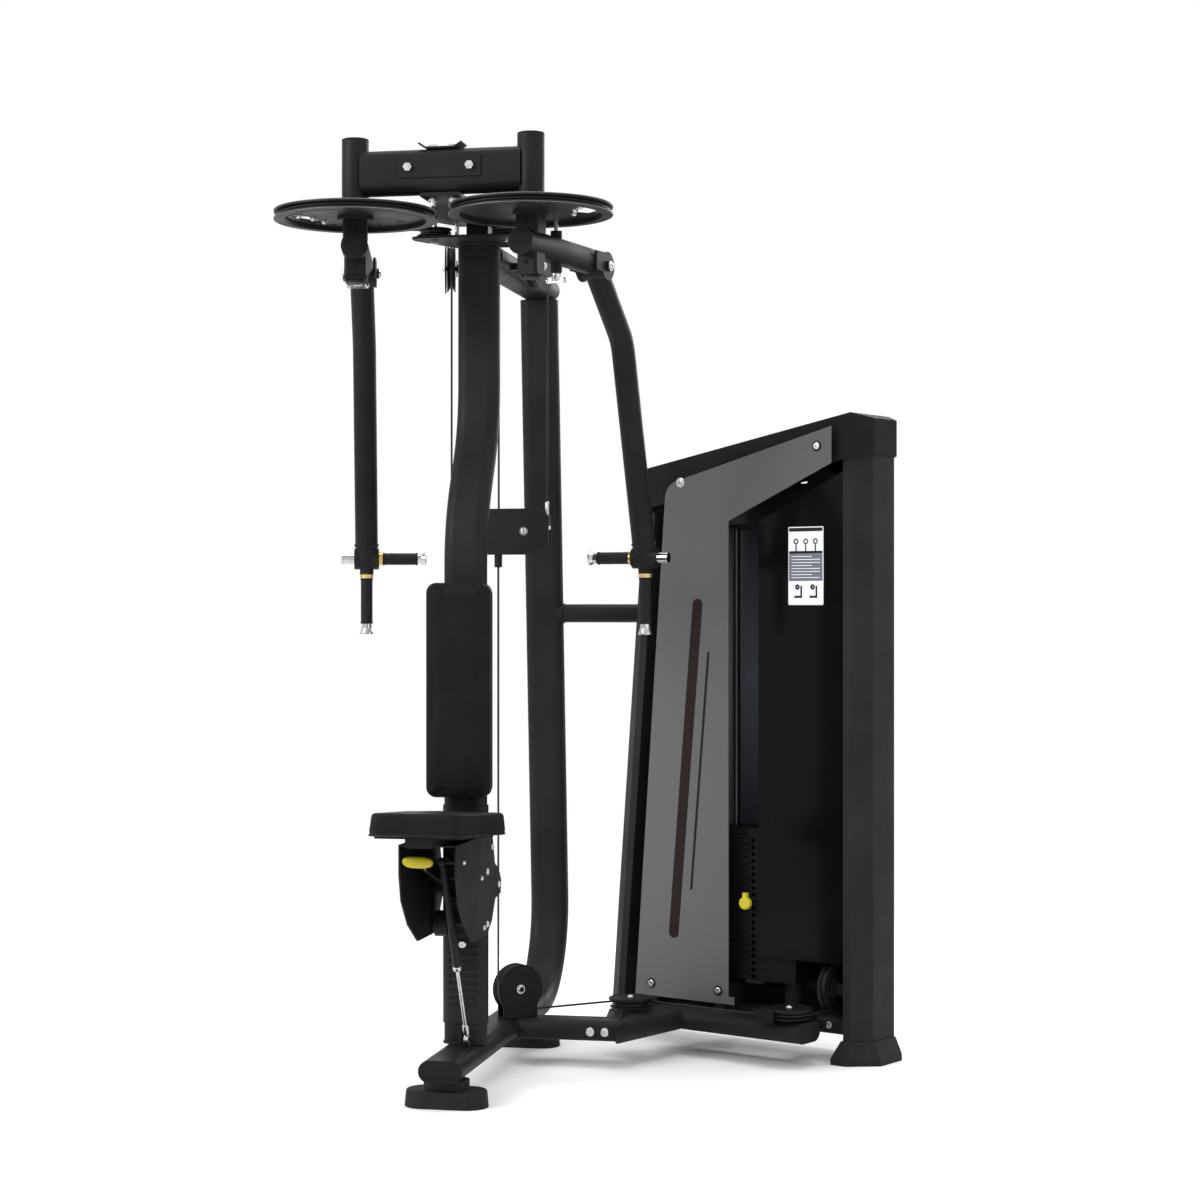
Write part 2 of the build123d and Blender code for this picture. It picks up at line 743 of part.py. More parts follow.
def cable_yoke():
    """Two plates with spacers between, where the cam cables and the main cable end."""
    front, back = YOKE_DEPTHS
    right, end = head_cable()
    yoke = yoke_plate(front) + yoke_plate(back - 4)
    for side in (-1, 1):
        x, z = side * YOKE_BOLT[0], YOKE_BOLT[1]
        yoke += cylinder(11, (x, front + 4, z), (x, back - 4, z))
        low, high = sorted((side * (end[0] - 9), side * (end[0] + 7)))
        yoke += block((low, front + 4, YOKE_HIGH_Z - 42), (high, back - 4, YOKE_HIGH_Z - 17))
    yoke += block((-13, front + 4, YOKE_LOW_Z), (13, back - 4, YOKE_LOW_Z + 24))
    yoke += cylinder(9, (RISER_X, RISER_Y, YOKE_LOW_Z - 26), (RISER_X, RISER_Y, YOKE_LOW_Z + 2))
    bore_r = CABLE_R + 0.4
    return yoke - cylinder(bore_r, (RISER_X, RISER_Y, YOKE_LOW_Z - 30), (RISER_X, RISER_Y, YOKE_LOW_Z + 10))


def top_pulley_plane():
    dx, dy = top_pulley_direction()
    centre = Vector(*TOP_PULLEY, CABLE_Z - PULLEY_GROOVE_R)
    return Plane(origin=centre, x_dir=(dx, dy, 0), z_dir=(dy, -dx, 0))


def right_top_pulley():
    return top_pulley_plane() * pulley(PULLEY_R, PULLEY_GROOVE_R, 20, 6.05, 14)


def left_top_pulley():
    return mirrored(right_top_pulley())


def floor_pulley():
    return floor_pulley_place() * pulley(FLOOR_PULLEY_R, FLOOR_GROOVE_R, 22, 6.05, 14)


def corner_place(at):
    return tower(Pos(at[0], at[1], FLOOR_RUN_Z) * pulley(CORNER_R, CORNER_GROOVE_R, 18, 6.05))


def inner_corner_pulley():
    return corner_place(INNER_CORNER)


def outer_corner_pulley():
    return corner_place(OUTER_CORNER)


def tower_pulley_plane():
    return Plane(
        origin=(OUTER_CORNER[0] + CORNER_GROOVE_R, STACK_MID - PULLEY_GROOVE_R, TOWER_PULLEY_Z),
        x_dir=(0, 1, 0),
        z_dir=(1, 0, 0),
    )


def tower_pulley():
    return tower(tower_pulley_plane() * pulley(PULLEY_R, PULLEY_GROOVE_R, 20, 6.05, 14))


def guide_pulleys():
    """Small wheels inside the head and at the top of the tower."""
    redirect = Pos(*REDIRECT, CABLE_Z) * pulley(REDIRECT_R + 4.5, REDIRECT_R, 17, 6)
    wheels = []
    for along in (STACK_AT + PULLEY_GROOVE_R, OUTER_CORNER[0] + CORNER_GROOVE_R - PULLEY_GROOVE_R):
        plane = Plane(origin=(along, STACK_MID, TOP_WHEEL_Z), x_dir=(1, 0, 0), z_dir=(0, -1, 0))
        wheels.append(tower(plane * pulley(PULLEY_R, PULLEY_GROOVE_R, 20, 6, 14)))
    return group(redirect, mirrored(redirect), *wheels)


def floor_pulley_bracket():
    """Two round cheeks that stand on the base beam, with the axle between them."""
    cheek = extrude(Circle(FLOOR_PULLEY_R + 1), 4)
    foot = block((-46, -70.0, 0), (46, -30, 4))
    cheek = cheek + foot
    cheek -= block((-80, -90, -1), (80, -69.9, 5))
    parts = []
    for side in (12.5, -16.5):
        parts.append(floor_pulley_place() * Pos(0, 0, side) * cheek)
    base = floor_pulley_place() * block((-46, -70, -12.5), (46, -66, 12.5))
    axle = floor_pulley_place() * Cylinder(6, 46)
    return group(parts[0] + parts[1] + base, axle - parts[0] - parts[1])


def corner_mount(at, box=False):
    """Pedestal, axle and round cover of a level pulley."""
    x, y = at
    pedestal = Pos(x, y, BEAM_TOP + 2.5) * Cylinder(26, 5)
    axle = Pos(x, y, (BEAM_TOP + FLOOR_RUN_Z + 14) / 2 + 2.5) * Cylinder(6, FLOOR_RUN_Z + 14 - BEAM_TOP - 5)
    cover = Pos(x, y, FLOOR_RUN_Z + 12) * Cylinder(CORNER_R + 3, 5)
    cover = fillet(cover.edges().group_by(Axis.Z)[-1], 2)
    cover -= Pos(x, y, FLOOR_RUN_Z) * Cylinder(6, 60)
    solids = [tower(pedestal), tower(axle), tower(cover)]
    if box:
        guard = block((x - 62, y - 60, BEAM_TOP + 1), (x - 8, y - 56, FLOOR_RUN_Z + 14.5))
        guard += block((x - 62, y - 60, FLOOR_RUN_Z + 9.5), (x - 8, y - 20, FLOOR_RUN_Z + 14.5))
        solids[2] = solids[2] + tower(guard)
    return solids


def tower_pulley_bracket():
    plane = tower_pulley_plane()
    cheek = extrude(Circle(30), 4)
    outer = Pos(0, 0, 11.5) * cheek + block((-14, -14, 11.5), (14, 14, 46))
    inner = Pos(0, 0, -15.5) * cheek
    axle = Cylinder(6, 44)
    return [tower(plane * (outer - axle)), tower(plane * (inner - axle)), tower(plane * axle)]


def top_wheel_bracket():
    ends = (STACK_AT + PULLEY_GROOVE_R, OUTER_CORNER[0] + CORNER_GROOVE_R - PULLEY_GROOVE_R)
    solids = []
    for depth in (STACK_MID - 16, STACK_MID + 12):
        cheek = block((ends[0] - 28, depth, 1318), (ends[1] + 28, depth + 4, TOP_WHEEL_Z + 24))
        for along in ends:
            cheek -= cylinder(6, (along, 1000, TOP_WHEEL_Z), (along, 1100, TOP_WHEEL_Z))
        solids.append(tower(cheek))
    for along in ends:
        start, stop = (along, STACK_MID - 19, TOP_WHEEL_Z), (along, STACK_MID + 19, TOP_WHEEL_Z)
        solids.append(tower(cylinder(6, start, stop)))
    return solids


def top_pulley_bracket():
    """Round guard outside the pulley and an arm from the link tube inside it."""
    plane = top_pulley_plane()
    guard = extrude(Circle(PULLEY_R + 3), 3)
    guard = plane * Pos(0, 0, 12) * guard
    arm = plane * Pos(0, 0, -15) * (extrude(Circle(20), 3))
    stay = block((40, TOP_PULLEY[1] - 14, 1918), (TOP_PULLEY[0] - 12, TOP_PULLEY[1] + 14, 1934))
    stay -= plane * Pos(0, 0, 20) * extrude(Rectangle(300, 300), 32, both=True)
    link = Pos(0, 0, 1937) * extrude(Plane.XZ.offset(-300) * SlotOverall(TUBE_W, TUBE_D), -400)
    stay = stay - link
    axle = plane * Cylinder(6, 36)
    return [guard - axle, arm - axle, axle, stay - axle - arm]


def pulley_brackets():
    solids = list(floor_pulley_bracket().solids())
    solids += corner_mount(INNER_CORNER) + corner_mount(OUTER_CORNER, True)
    solids += tower_pulley_bracket() + top_wheel_bracket()
    for part in top_pulley_bracket():
        solids += [part, mirrored(part)]
    return group(*solids)


# ---------------------------------------------------------------- arms

def on_arm(shape):
    """Put a solid built along +Y from the pivot on the right arm's line."""
    return Pos(PIVOT_X, 0, 0) * Rot(0, 0, -ARM_ANGLE) * shape


def right_cam():
    """Grooved disc with its shaft; the holes take the pop pin."""
    outline = [
        (SHAFT_R, CAM_LOW_Z),
        (CAM_R, CAM_LOW_Z),
        (CAM_R, CAM_LOW_Z + CAM_FLANGE),
        (CAM_GROOVE_R - CABLE_R, CAM_LOW_Z + CAM_FLANGE + 1.5),
        (CAM_GROOVE_R - CABLE_R, CAM_HIGH_Z - CAM_FLANGE - 1.5),
        (CAM_R, CAM_HIGH_Z - CAM_FLANGE),
        (CAM_R, CAM_HIGH_Z),
        (24, CAM_HIGH_Z),
        (24, PIVOT_BOTTOM_Z - 0.4),
        (SHAFT_R, PIVOT_BOTTOM_Z - 0.4),
        (SHAFT_R, PIVOT_TOP_Z - 6),
        (0, PIVOT_TOP_Z - 6),
        (0, 1828),
        (22, 1828),
        (22, 1834.4),
        (SHAFT_R, 1834.4),
    ]
    disc = revolve(Plane.XZ * make_face(Polyline(*outline, close=True)), Axis.Z)
    disc -= Pos(0, 0, CAM_HIGH_Z - 5) * extrude(ring(CAM_RIM_R, 40), 10)
    disc -= Pos(0, 0, CAM_WEB_Z - 30) * extrude(ring(CAM_RIM_R, 40), 30)
    for i in range(-2, 3):
        turn = Rot(0, 0, -ARM_ANGLE + 12 * i)
        disc -= turn * Pos(0, POP_PIN_AT, CAM_LOW_Z) * Cylinder(POP_PIN_R + 1, 60)
    slot = extrude(SlotCenterToCenter(22, 9), 60)
    disc -= Rot(0, 0, 42) * Pos(0, 118, CAM_LOW_Z - 20) * slot
    disc -= Pos(0, 0, CAM_LOW_Z - 20) * extrude(cam_window(), 60)
    return Pos(PIVOT_X, 0, 0) * disc


def cam_window():
    """Arc-shaped opening in the cam's web, where the cable end is reached."""
    wedge = [(0, 0)]
    for turn in (52, 76, 100):
        wedge.append((300 * sin(radians(turn)), 300 * cos(radians(turn))))
    face = ring(CAM_RIM_R - 5, 104) & make_face(Polyline(*wedge, close=True))
    return fillet(face.vertices(), 9)


def right_arm():
    """Level arm: hub blocks round the shaft, round tube, and the hinge ears."""
    v, z = HINGE
    tube = cylinder(30, (0, ARM_FRONT, ARM_Z), (0, v - 40, ARM_Z), 26.5)
    nose = cylinder(30, (0, ARM_FRONT, ARM_Z), (0, ARM_FRONT + 4, ARM_Z))
    nose = fillet(nose.edges().sort_by(Axis.Y)[0], 3)
    tail = cylinder(30, (0, v - 42, ARM_Z), (0, v - 38, ARM_Z))
    boss = Pos(0, 0, ARM_Z) * Cylinder(22, 58)
    upper = block((-27, -27, 1926), (27, 27, CAM_LOW_Z - 0.5))
    upper = fillet(upper.edges().filter_by(Axis.Z), 9)
    lower = block((-24, -24, 1841), (24, 24, 1884))
    lower = fillet(lower.edges().filter_by(Axis.Z), 7)
    flange = block((-27, -27, 1835), (27, 27, 1842))
    flange = fillet(flange.edges().filter_by(Axis.Z), 8)
    arm = tube + nose + tail + boss + upper + lower + flange
    for side in (-1, 1):
        ear = cylinder(33, (side * 29, v, z), (side * 35, v, z))
        low, high = sorted((side * 29, side * 35))
        web = block((low, v - 62, ARM_Z - 24), (high, v, ARM_Z + 20))
        arm = arm + ear + web
    housing = cylinder(13, (0, POP_PIN_AT, 1858), (0, POP_PIN_AT, 1880))
    collar = cylinder(13, (0, POP_PIN_AT, 1930), (0, POP_PIN_AT, 1950))
    arm = arm + housing + collar
    arm -= Pos(0, 0, 1900) * Cylinder(SHAFT_R + RUNNING, 300)
    arm -= Pos(0, POP_PIN_AT, 1900) * Cylinder(POP_PIN_R + 0.5, 300)
    pin = cylinder(8, (-36, v, z), (36, v, z))
    heads = cylinder(12, (35, v, z), (41, v, z)) + cylinder(12, (-41, v, z), (-35, v, z))
    return on_arm(arm + pin + heads)


def right_pop_pin():
    z = CAM_WEB_Z - 0.8
    rod = cylinder(POP_PIN_R, (0, POP_PIN_AT, 1838), (0, POP_PIN_AT, z))
    boss = cylinder(9, (0, POP_PIN_AT, 1838), (0, POP_PIN_AT, 1854))
    wing = block((-22, POP_PIN_AT - 4, 1834), (22, POP_PIN_AT + 4, 1846))
    wing = fillet(wing.edges().filter_by(Axis.Y), 4)
    return on_arm(rod + boss + wing)


def hanger_points():
    return [(0, HINGE[0], HINGE[1]), (0, *ELBOW), (0, *WRIST)]


def right_hanger():
    """Bent tube that hangs from the hinge and carries the two grip bars."""
    v, z = HINGE
    points = hanger_points()
    solid = tube_along(points, 110, Circle(ARM_R))
    solid -= tube_along(points, 110, Circle(ARM_R - 3))
    solid += cylinder(31, (-28.5, v, z), (28.5, v, z))
    wv, wz = WRIST
    solid += cylinder(26, (-30, wv, wz), (30, wv, wz))
    solid += cylinder(17, (0, wv, wz - 38), (0, wv, wz))
    solid += cylinder(10, (0, wv, wz - 172), (0, wv, wz))
    solid += cylinder(10, (-138, wv, wz), (60, wv, wz))
    solid -= cylinder(8.05, (-60, v, z), (60, v, z))
    return on_arm(solid)


def right_grips():
    wv, wz = WRIST
    level = cylinder(GRIP_R, (-40, wv, wz), (-126, wv, wz), 10)
    upright = cylinder(GRIP_R, (0, wv, wz - 48), (0, wv, wz - 160), 10)
    return group(on_arm(level), on_arm(upright))


def grip_end(start, stop):
    """Chrome cap that flares towards its end."""
    start, stop = Vector(*start), Vector(*stop)
    length = (stop - start).length
    outline = [(0, 0), (12, 0), (13, length * 0.45), (17, length * 0.86), (17, length), (0, length)]
    cap = revolve(Plane.XZ * make_face(Polyline(*outline, close=True)), Axis.Z)
    x_dir = (0, 1, 0)
    return Plane(origin=start, x_dir=x_dir, z_dir=stop - start) * cap


def right_grip_ends():
    """Chrome end caps, brass collars and the stub end of the level bar."""
    wv, wz = WRIST
    level = grip_end((-126.3, wv, wz), (-148, wv, wz)) - cylinder(10, (-100, wv, wz), (-138, wv, wz))
    low = grip_end((0, wv, wz - 160.3), (0, wv, wz - 186)) - cylinder(10, (0, wv, wz), (0, wv, wz - 172))
    ring_a = cylinder(16.5, (-30.5, wv, wz), (-39.5, wv, wz), 10)
    ring_b = cylinder(17, (0, wv, wz - 38.3), (0, wv, wz - 47.7), 10)
    stub = cylinder(13, (30.5, wv, wz), (62, wv, wz)) - cylinder(10, (0, wv, wz), (60, wv, wz))
    return group(*[on_arm(s) for s in (level, low, ring_a, ring_b, stub)])


# ---------------------------------------------------------------- seat and pad


def back_pad():
    body = Pos(0, 147, 920) * Box(148, 46, 486)
    body = fillet(body.edges().filter_by(Axis.Y), 22)
    return fillet(body.edges().group_by(Axis.Y)[0], 8)


def pad_board():
    board = Pos(0, 177, 920) * Box(122, 13.6, 452)
    return fillet(board.edges().filter_by(Axis.Y), 14)


def seat_cushion():
    """Wider at the back, with sides that slope out to the bottom; its front is raised."""
    half_front, half_back = 104, 124
    outline = [
        (-half_front, SEAT_FRONT_Y),
        (half_front, SEAT_FRONT_Y),
        (half_back, SEAT_BACK_Y),
        (-half_back, SEAT_BACK_Y),
    ]
    face = fillet(make_face(Polyline(*outline, close=True)).vertices(), 24)
    body = extrude(face, SEAT_T, taper=7)
    body = fillet(body.edges().group_by(Axis.Z)[-1], 9)
    return Pos(0, 0, SEAT_LOW_Z) * body.rotate(Axis.X, -SEAT_TILT)


def carriage_plate():
    outline = [
        (-128, 594),
        (-128, 530),
        (-112, 470),
        (-60, 412),
        (20, 366),
        (150, 366),
        (196, 392),
        (230, 440),
        (282, 446),
        (288, 476),
        (262, 506),
        (226, 520),
        (200, 594),
    ]
    face = fillet(make_face(Polyline(*outline, close=True)).vertices(), 9)
    return extrude(Plane.YZ.offset(CARRIAGE_X) * face, 4)


def seat_carriage():
    """Side plates, seat bearer, cross pins and the rollers that run on the column."""
    side = carriage_plate()
    solid = side + mirrored(side)
    bearer = block((-CARRIAGE_X - 4, -128, 590), (CARRIAGE_X + 4, 120, 594))
    solid = solid + bearer
    wedge = make_face(Polyline((-200, 617), (-200, 594), (120, 594), (120, 594.8), close=True))
    solid = solid + extrude(Plane.YZ.offset(-30) * wedge, 60)
    for y, z in ((150, 509), (150, 390), (262, 468)):
        solid = solid + cylinder(6, (-CARRIAGE_X, y, z), (CARRIAGE_X, y, z))
    x, y, z = SPRING_TOP
    solid = solid + cylinder(5, (x - 10, y, z), (CARRIAGE_X, y, z))
    solid = solid + cylinder(5, (-CARRIAGE_X, *LEVER_PIVOT), (CARRIAGE_X, *LEVER_PIVOT))
    for side_x in (-1, 1):
        near, far = side_x * 24, side_x * 54
        solid = solid + cylinder(29.5, (near, 150, 509), (far, 150, 509))
        solid = solid + cylinder(29.5, (near, 150, 390), (far, 150, 390))
        solid = solid + cylinder(23.5, (near, 262, 468), (far, 262, 468))
    return solid


def seat_lever():
    """Paddle under the seat front; its tail holds a latch tooth by the rack slots."""
    y, z = LEVER_PIVOT
    outline = [
        (-126, 550),
        (-126, 562),
        (-106, 562),
        (-84, 546),
        (y - 20, z + 12),
        (y + 6, z + 14),
        (y + 16, z),
        (y + 30, 474),
        (180, 452),
        (180, 446),
        (y + 20, 452),
        (y + 2, 480),
        (y - 14, z - 12),
        (-88, 534),
    ]
    bar = extrude(Plane.YZ.offset(-20) * make_face(Polyline(*outline, close=True)), 8)
    bar -= cylinder(5.05, (-60, y, z), (60, y, z))
    paddle = block((-54, -134, 544), (8, -112, 568))
    paddle = fillet(paddle.edges().filter_by(Axis.X), 10)
    return bar + paddle


def spring_axis():
    top, eye = Vector(*SPRING_TOP), Vector(*SPRING_EYE)
    return top, eye, (eye - top).normalized()


def gas_cylinder():
    top, eye, way = spring_axis()
    tube = cylinder(9, top + way * 8, top + way * 282)
    ring_eye = cylinder(10, (SPRING_TOP[0] - 6, *SPRING_TOP[1:]), (SPRING_TOP[0] + 6, *SPRING_TOP[1:]))
    solid = tube + ring_eye
    solid -= cylinder(5.05, (0, *SPRING_TOP[1:]), (40, *SPRING_TOP[1:]))
    return solid - cylinder(4.05, top + way * 130, top + way * 290)


def gas_rod():
    """Rod of the gas spring; its lower eye is wide to clear the pin over the travel."""
    top, eye, way = spring_axis()
    rod = cylinder(4, top + way * 252, eye - way * 11)
    ring_eye = cylinder(13.5, (SPRING_EYE[0] - 5, *SPRING_EYE[1:]), (SPRING_EYE[0] + 5, *SPRING_EYE[1:]))
    return rod + ring_eye - cylinder(SPRING_BORE_R, (0, *SPRING_EYE[1:]), (40, *SPRING_EYE[1:]))


# ---------------------------------------------------------------- all nodes


def both_sides(name, right):
    return {"right_" + name: right, "left_" + name: mirrored(right)}


def nodes():
    start_y, top_y = rear_corner()
    parts = {
        "base_beam": base_beam(start_y - 1),
        "rear_column": rear_column(),
        "front_column": front_column(),
        "rail_cover": rail_cover(),
        "top_link_tube": top_link_tube(),
        "head_plates": head_plates(),
        "crossbar": crossbar(),
        "pivot_tubes": pivot_tubes(),
        "pivot_bushes": pivot_bushes(),
        "frame_bolts": frame_bolts(),
        "end_caps": end_caps(),
        "rubber_feet": rubber_feet(),
        "cross_tube": cross_tube(),
        "floor_beam": floor_beam(),
        "tower_uprights": tower_uprights(),
        "tower_feet": tower_feet(),
        "tower_cap": tower_cap(),
        "tower_rails": tower_rails(),
        "side_panel": side_panel(),
        "front_shroud": front_shroud(),
        "rear_shroud": rear_shroud(),
        "guide_rods": guide_rods(),
        "resting_plates": resting_plates(),
        "lifted_plates": lifted_plates(),
        "selector_stem": selector_stem(),
        "selector_pin": selector_pin(),
        "stack_bumpers": stack_bumpers(),
        "pulley_brackets": pulley_brackets(),
        "guide_pulleys": guide_pulleys(),
        "floor_pulley": floor_pulley(),
        "inner_corner_pulley": inner_corner_pulley(),
        "outer_corner_pulley": outer_corner_pulley(),
        "tower_pulley": tower_pulley(),
        "fixed_cables": fixed_cables(),
        "drop_cables": drop_cables(),
        "riser_cable": riser_cable(),
        "stack_cable": stack_cable(),
        "cable_yoke": cable_yoke(),
        "back_pad": back_pad(),
        "pad_board": pad_board(),
        "seat_cushion": seat_cushion(),
        "seat_carriage": seat_carriage(),
        "seat_lever": seat_lever(),
        "gas_cylinder": gas_cylinder(),
        "gas_rod": gas_rod(),
    }
    parts.update(both_sides("cam", right_cam()))
    parts.update(both_sides("arm", right_arm()))
    parts.update(both_sides("hanger", right_hanger()))
    parts.update(both_sides("grips", right_grips()))
    parts.update(both_sides("grip_ends", right_grip_ends()))
    parts.update(both_sides("pop_pin", right_pop_pin()))
    parts.update(both_sides("top_pulley", right_top_pulley()))
    return parts


def frame_bolts():
    """Bright bolts of the frame: crossbar, head, cross tube, column, panel and rail."""
    hexes = []
    for x in (-70, 70):
        hexes.append(Plane((x, -33, 2076), x_dir=(1, 0, 0), z_dir=(0, -1, 0)) * hex_bolt(10, 7, 6, 55))
    for x in (-22, 22):
        hexes.append(Pos(x, 0, 2122) * hex_bolt(10, 7, 6, 128))
        hexes.append(Pos(x, 0, 2003.5) * (extrude(RegularPolygon(10, 6), 8) - Cylinder(6, 40)))
    for x in (-REDIRECT[0], REDIRECT[0]):
        hexes.append(Pos(x, REDIRECT[1], 2020) * hex_bolt(10, 6, 6, 66))
        hexes.append(Pos(x, REDIRECT[1], 1952.5) * (extrude(RegularPolygon(10, 6), 7) - Cylinder(6, 40)))
    hexes.append(Pos(-44, 300, 1966) * extrude(Circle(5), 46))
    big = button_bolt(11, 6, 6, 24)
    for x in CROSS_BOLTS:
        hexes.append(Plane((x, 537, BEAM_Z), x_dir=(1, 0, 0), z_dir=(0, -1, 0)) * big)
    small = button_bolt(9, 5, 5, 20)
    hexes.append(Plane((0, 179.5, COVER_BOLT_Z), x_dir=(1, 0, 0), z_dir=(0, -1, 0)) * small)
    for along, z in panel_bolts():
        hexes.append(tower(Plane((along, 953, z), x_dir=(1, 0, 0), z_dir=(0, -1, 0)) * small))
    hexes.append(tower(Plane((368, 1015, 85), x_dir=(1, 0, 0), z_dir=(0, -1, 0)) * small))
    return group(*hexes)


def write(parts):
    os.makedirs("parts", exist_ok=True)
    low, high = [1e9] * 3, [-1e9] * 3
    for name, shape in parts.items():
        shape = Pos(-ORIGIN[0], -ORIGIN[1], 0) * shape
        box = shape.bounding_box()
        low = [min(a, b) for a, b in zip(low, box.min)]
        high = [max(a, b) for a, b in zip(high, box.max)]
        export_step(shape, f"parts/{name}.step")
    print("low corner", [round(v, 2) for v in low], "high corner", [round(v, 2) for v in high])


if __name__ == "__main__":
    write(nodes())
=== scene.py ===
"""Looks of the pec deck machine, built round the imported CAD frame. Metres, +Z up."""

import json
import math

import bpy
import numpy as np
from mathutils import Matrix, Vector


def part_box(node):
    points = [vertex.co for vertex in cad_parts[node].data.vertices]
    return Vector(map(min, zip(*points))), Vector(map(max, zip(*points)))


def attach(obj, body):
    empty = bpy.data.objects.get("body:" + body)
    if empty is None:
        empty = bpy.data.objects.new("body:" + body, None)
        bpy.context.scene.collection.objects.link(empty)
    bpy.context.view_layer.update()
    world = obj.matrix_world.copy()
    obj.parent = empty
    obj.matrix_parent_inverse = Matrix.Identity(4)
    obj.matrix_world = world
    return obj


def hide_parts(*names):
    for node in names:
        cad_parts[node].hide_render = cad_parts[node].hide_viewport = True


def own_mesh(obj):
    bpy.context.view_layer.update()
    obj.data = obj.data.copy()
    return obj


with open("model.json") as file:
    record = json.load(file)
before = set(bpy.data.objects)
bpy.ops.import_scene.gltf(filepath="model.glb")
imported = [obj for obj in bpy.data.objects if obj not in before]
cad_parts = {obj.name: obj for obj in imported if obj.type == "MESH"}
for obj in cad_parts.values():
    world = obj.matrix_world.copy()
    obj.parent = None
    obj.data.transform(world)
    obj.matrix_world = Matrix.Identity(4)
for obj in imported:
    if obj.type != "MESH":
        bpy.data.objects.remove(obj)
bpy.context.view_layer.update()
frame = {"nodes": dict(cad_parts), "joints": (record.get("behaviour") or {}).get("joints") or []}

MM = 0.001
UP = Vector((0, 0, 1))
JOINTS = {j["name"]: j for j in frame["joints"]}
NODES = frame["nodes"]

# The machine's own directions: the arm pivots give the middle plane, and the
# selector pin's way out gives the tower's depth.
LEFT_PIVOT = Vector(JOINTS["left_arm_swing"]["pos_m"])
RIGHT_PIVOT = Vector(JOINTS["right_arm_swing"]["pos_m"])
MIDDLE = (LEFT_PIVOT + RIGHT_PIVOT) / 2
PIVOT_X = (RIGHT_PIVOT - LEFT_PIVOT).length / 2
DEPTH = -Vector(JOINTS["selector_pin_pull"]["axis"]).normalized()
ALONG = DEPTH.cross(UP)
TILT_AXIS = Vector(JOINTS["right_hanger_tilt"]["axis"])
SWING_TRAVEL = math.radians(JOINTS["left_arm_swing"]["range_deg"][1])
CABLE_PER_RADIAN = 0.172
LIFT = CABLE_PER_RADIAN * SWING_TRAVEL
YOKE_HIGH = 1347 * MM
DROP_X, DROP_Y = 119, 540
TAGS = {-1: "left", 1: "right"}


def design(x, y, z):
    """A point from its distances in mm off the arms' middle plane and pivot line."""
    return Vector((MIDDLE.x + x * MM, MIDDLE.y + y * MM, z * MM))


def tower(along, depth, z):
    """A point of the tower in mm: along its front, into its depth, and up."""
    at = Vector((MIDDLE.x, MIDDLE.y, 0))
    return at + ALONG * along * MM + DEPTH * depth * MM + UP * z * MM


def on_arm(side, u, v, z):
    """A point beside the arm (u, outwards is negative), along it (v) and up, in mm."""
    c, s = TILT_AXIS.x, -TILT_AXIS.y
    x = side * (PIVOT_X / MM + u * c + v * s)
    return design(x, -u * s + v * c, z)


# ---------------------------------------------------------------- node materials


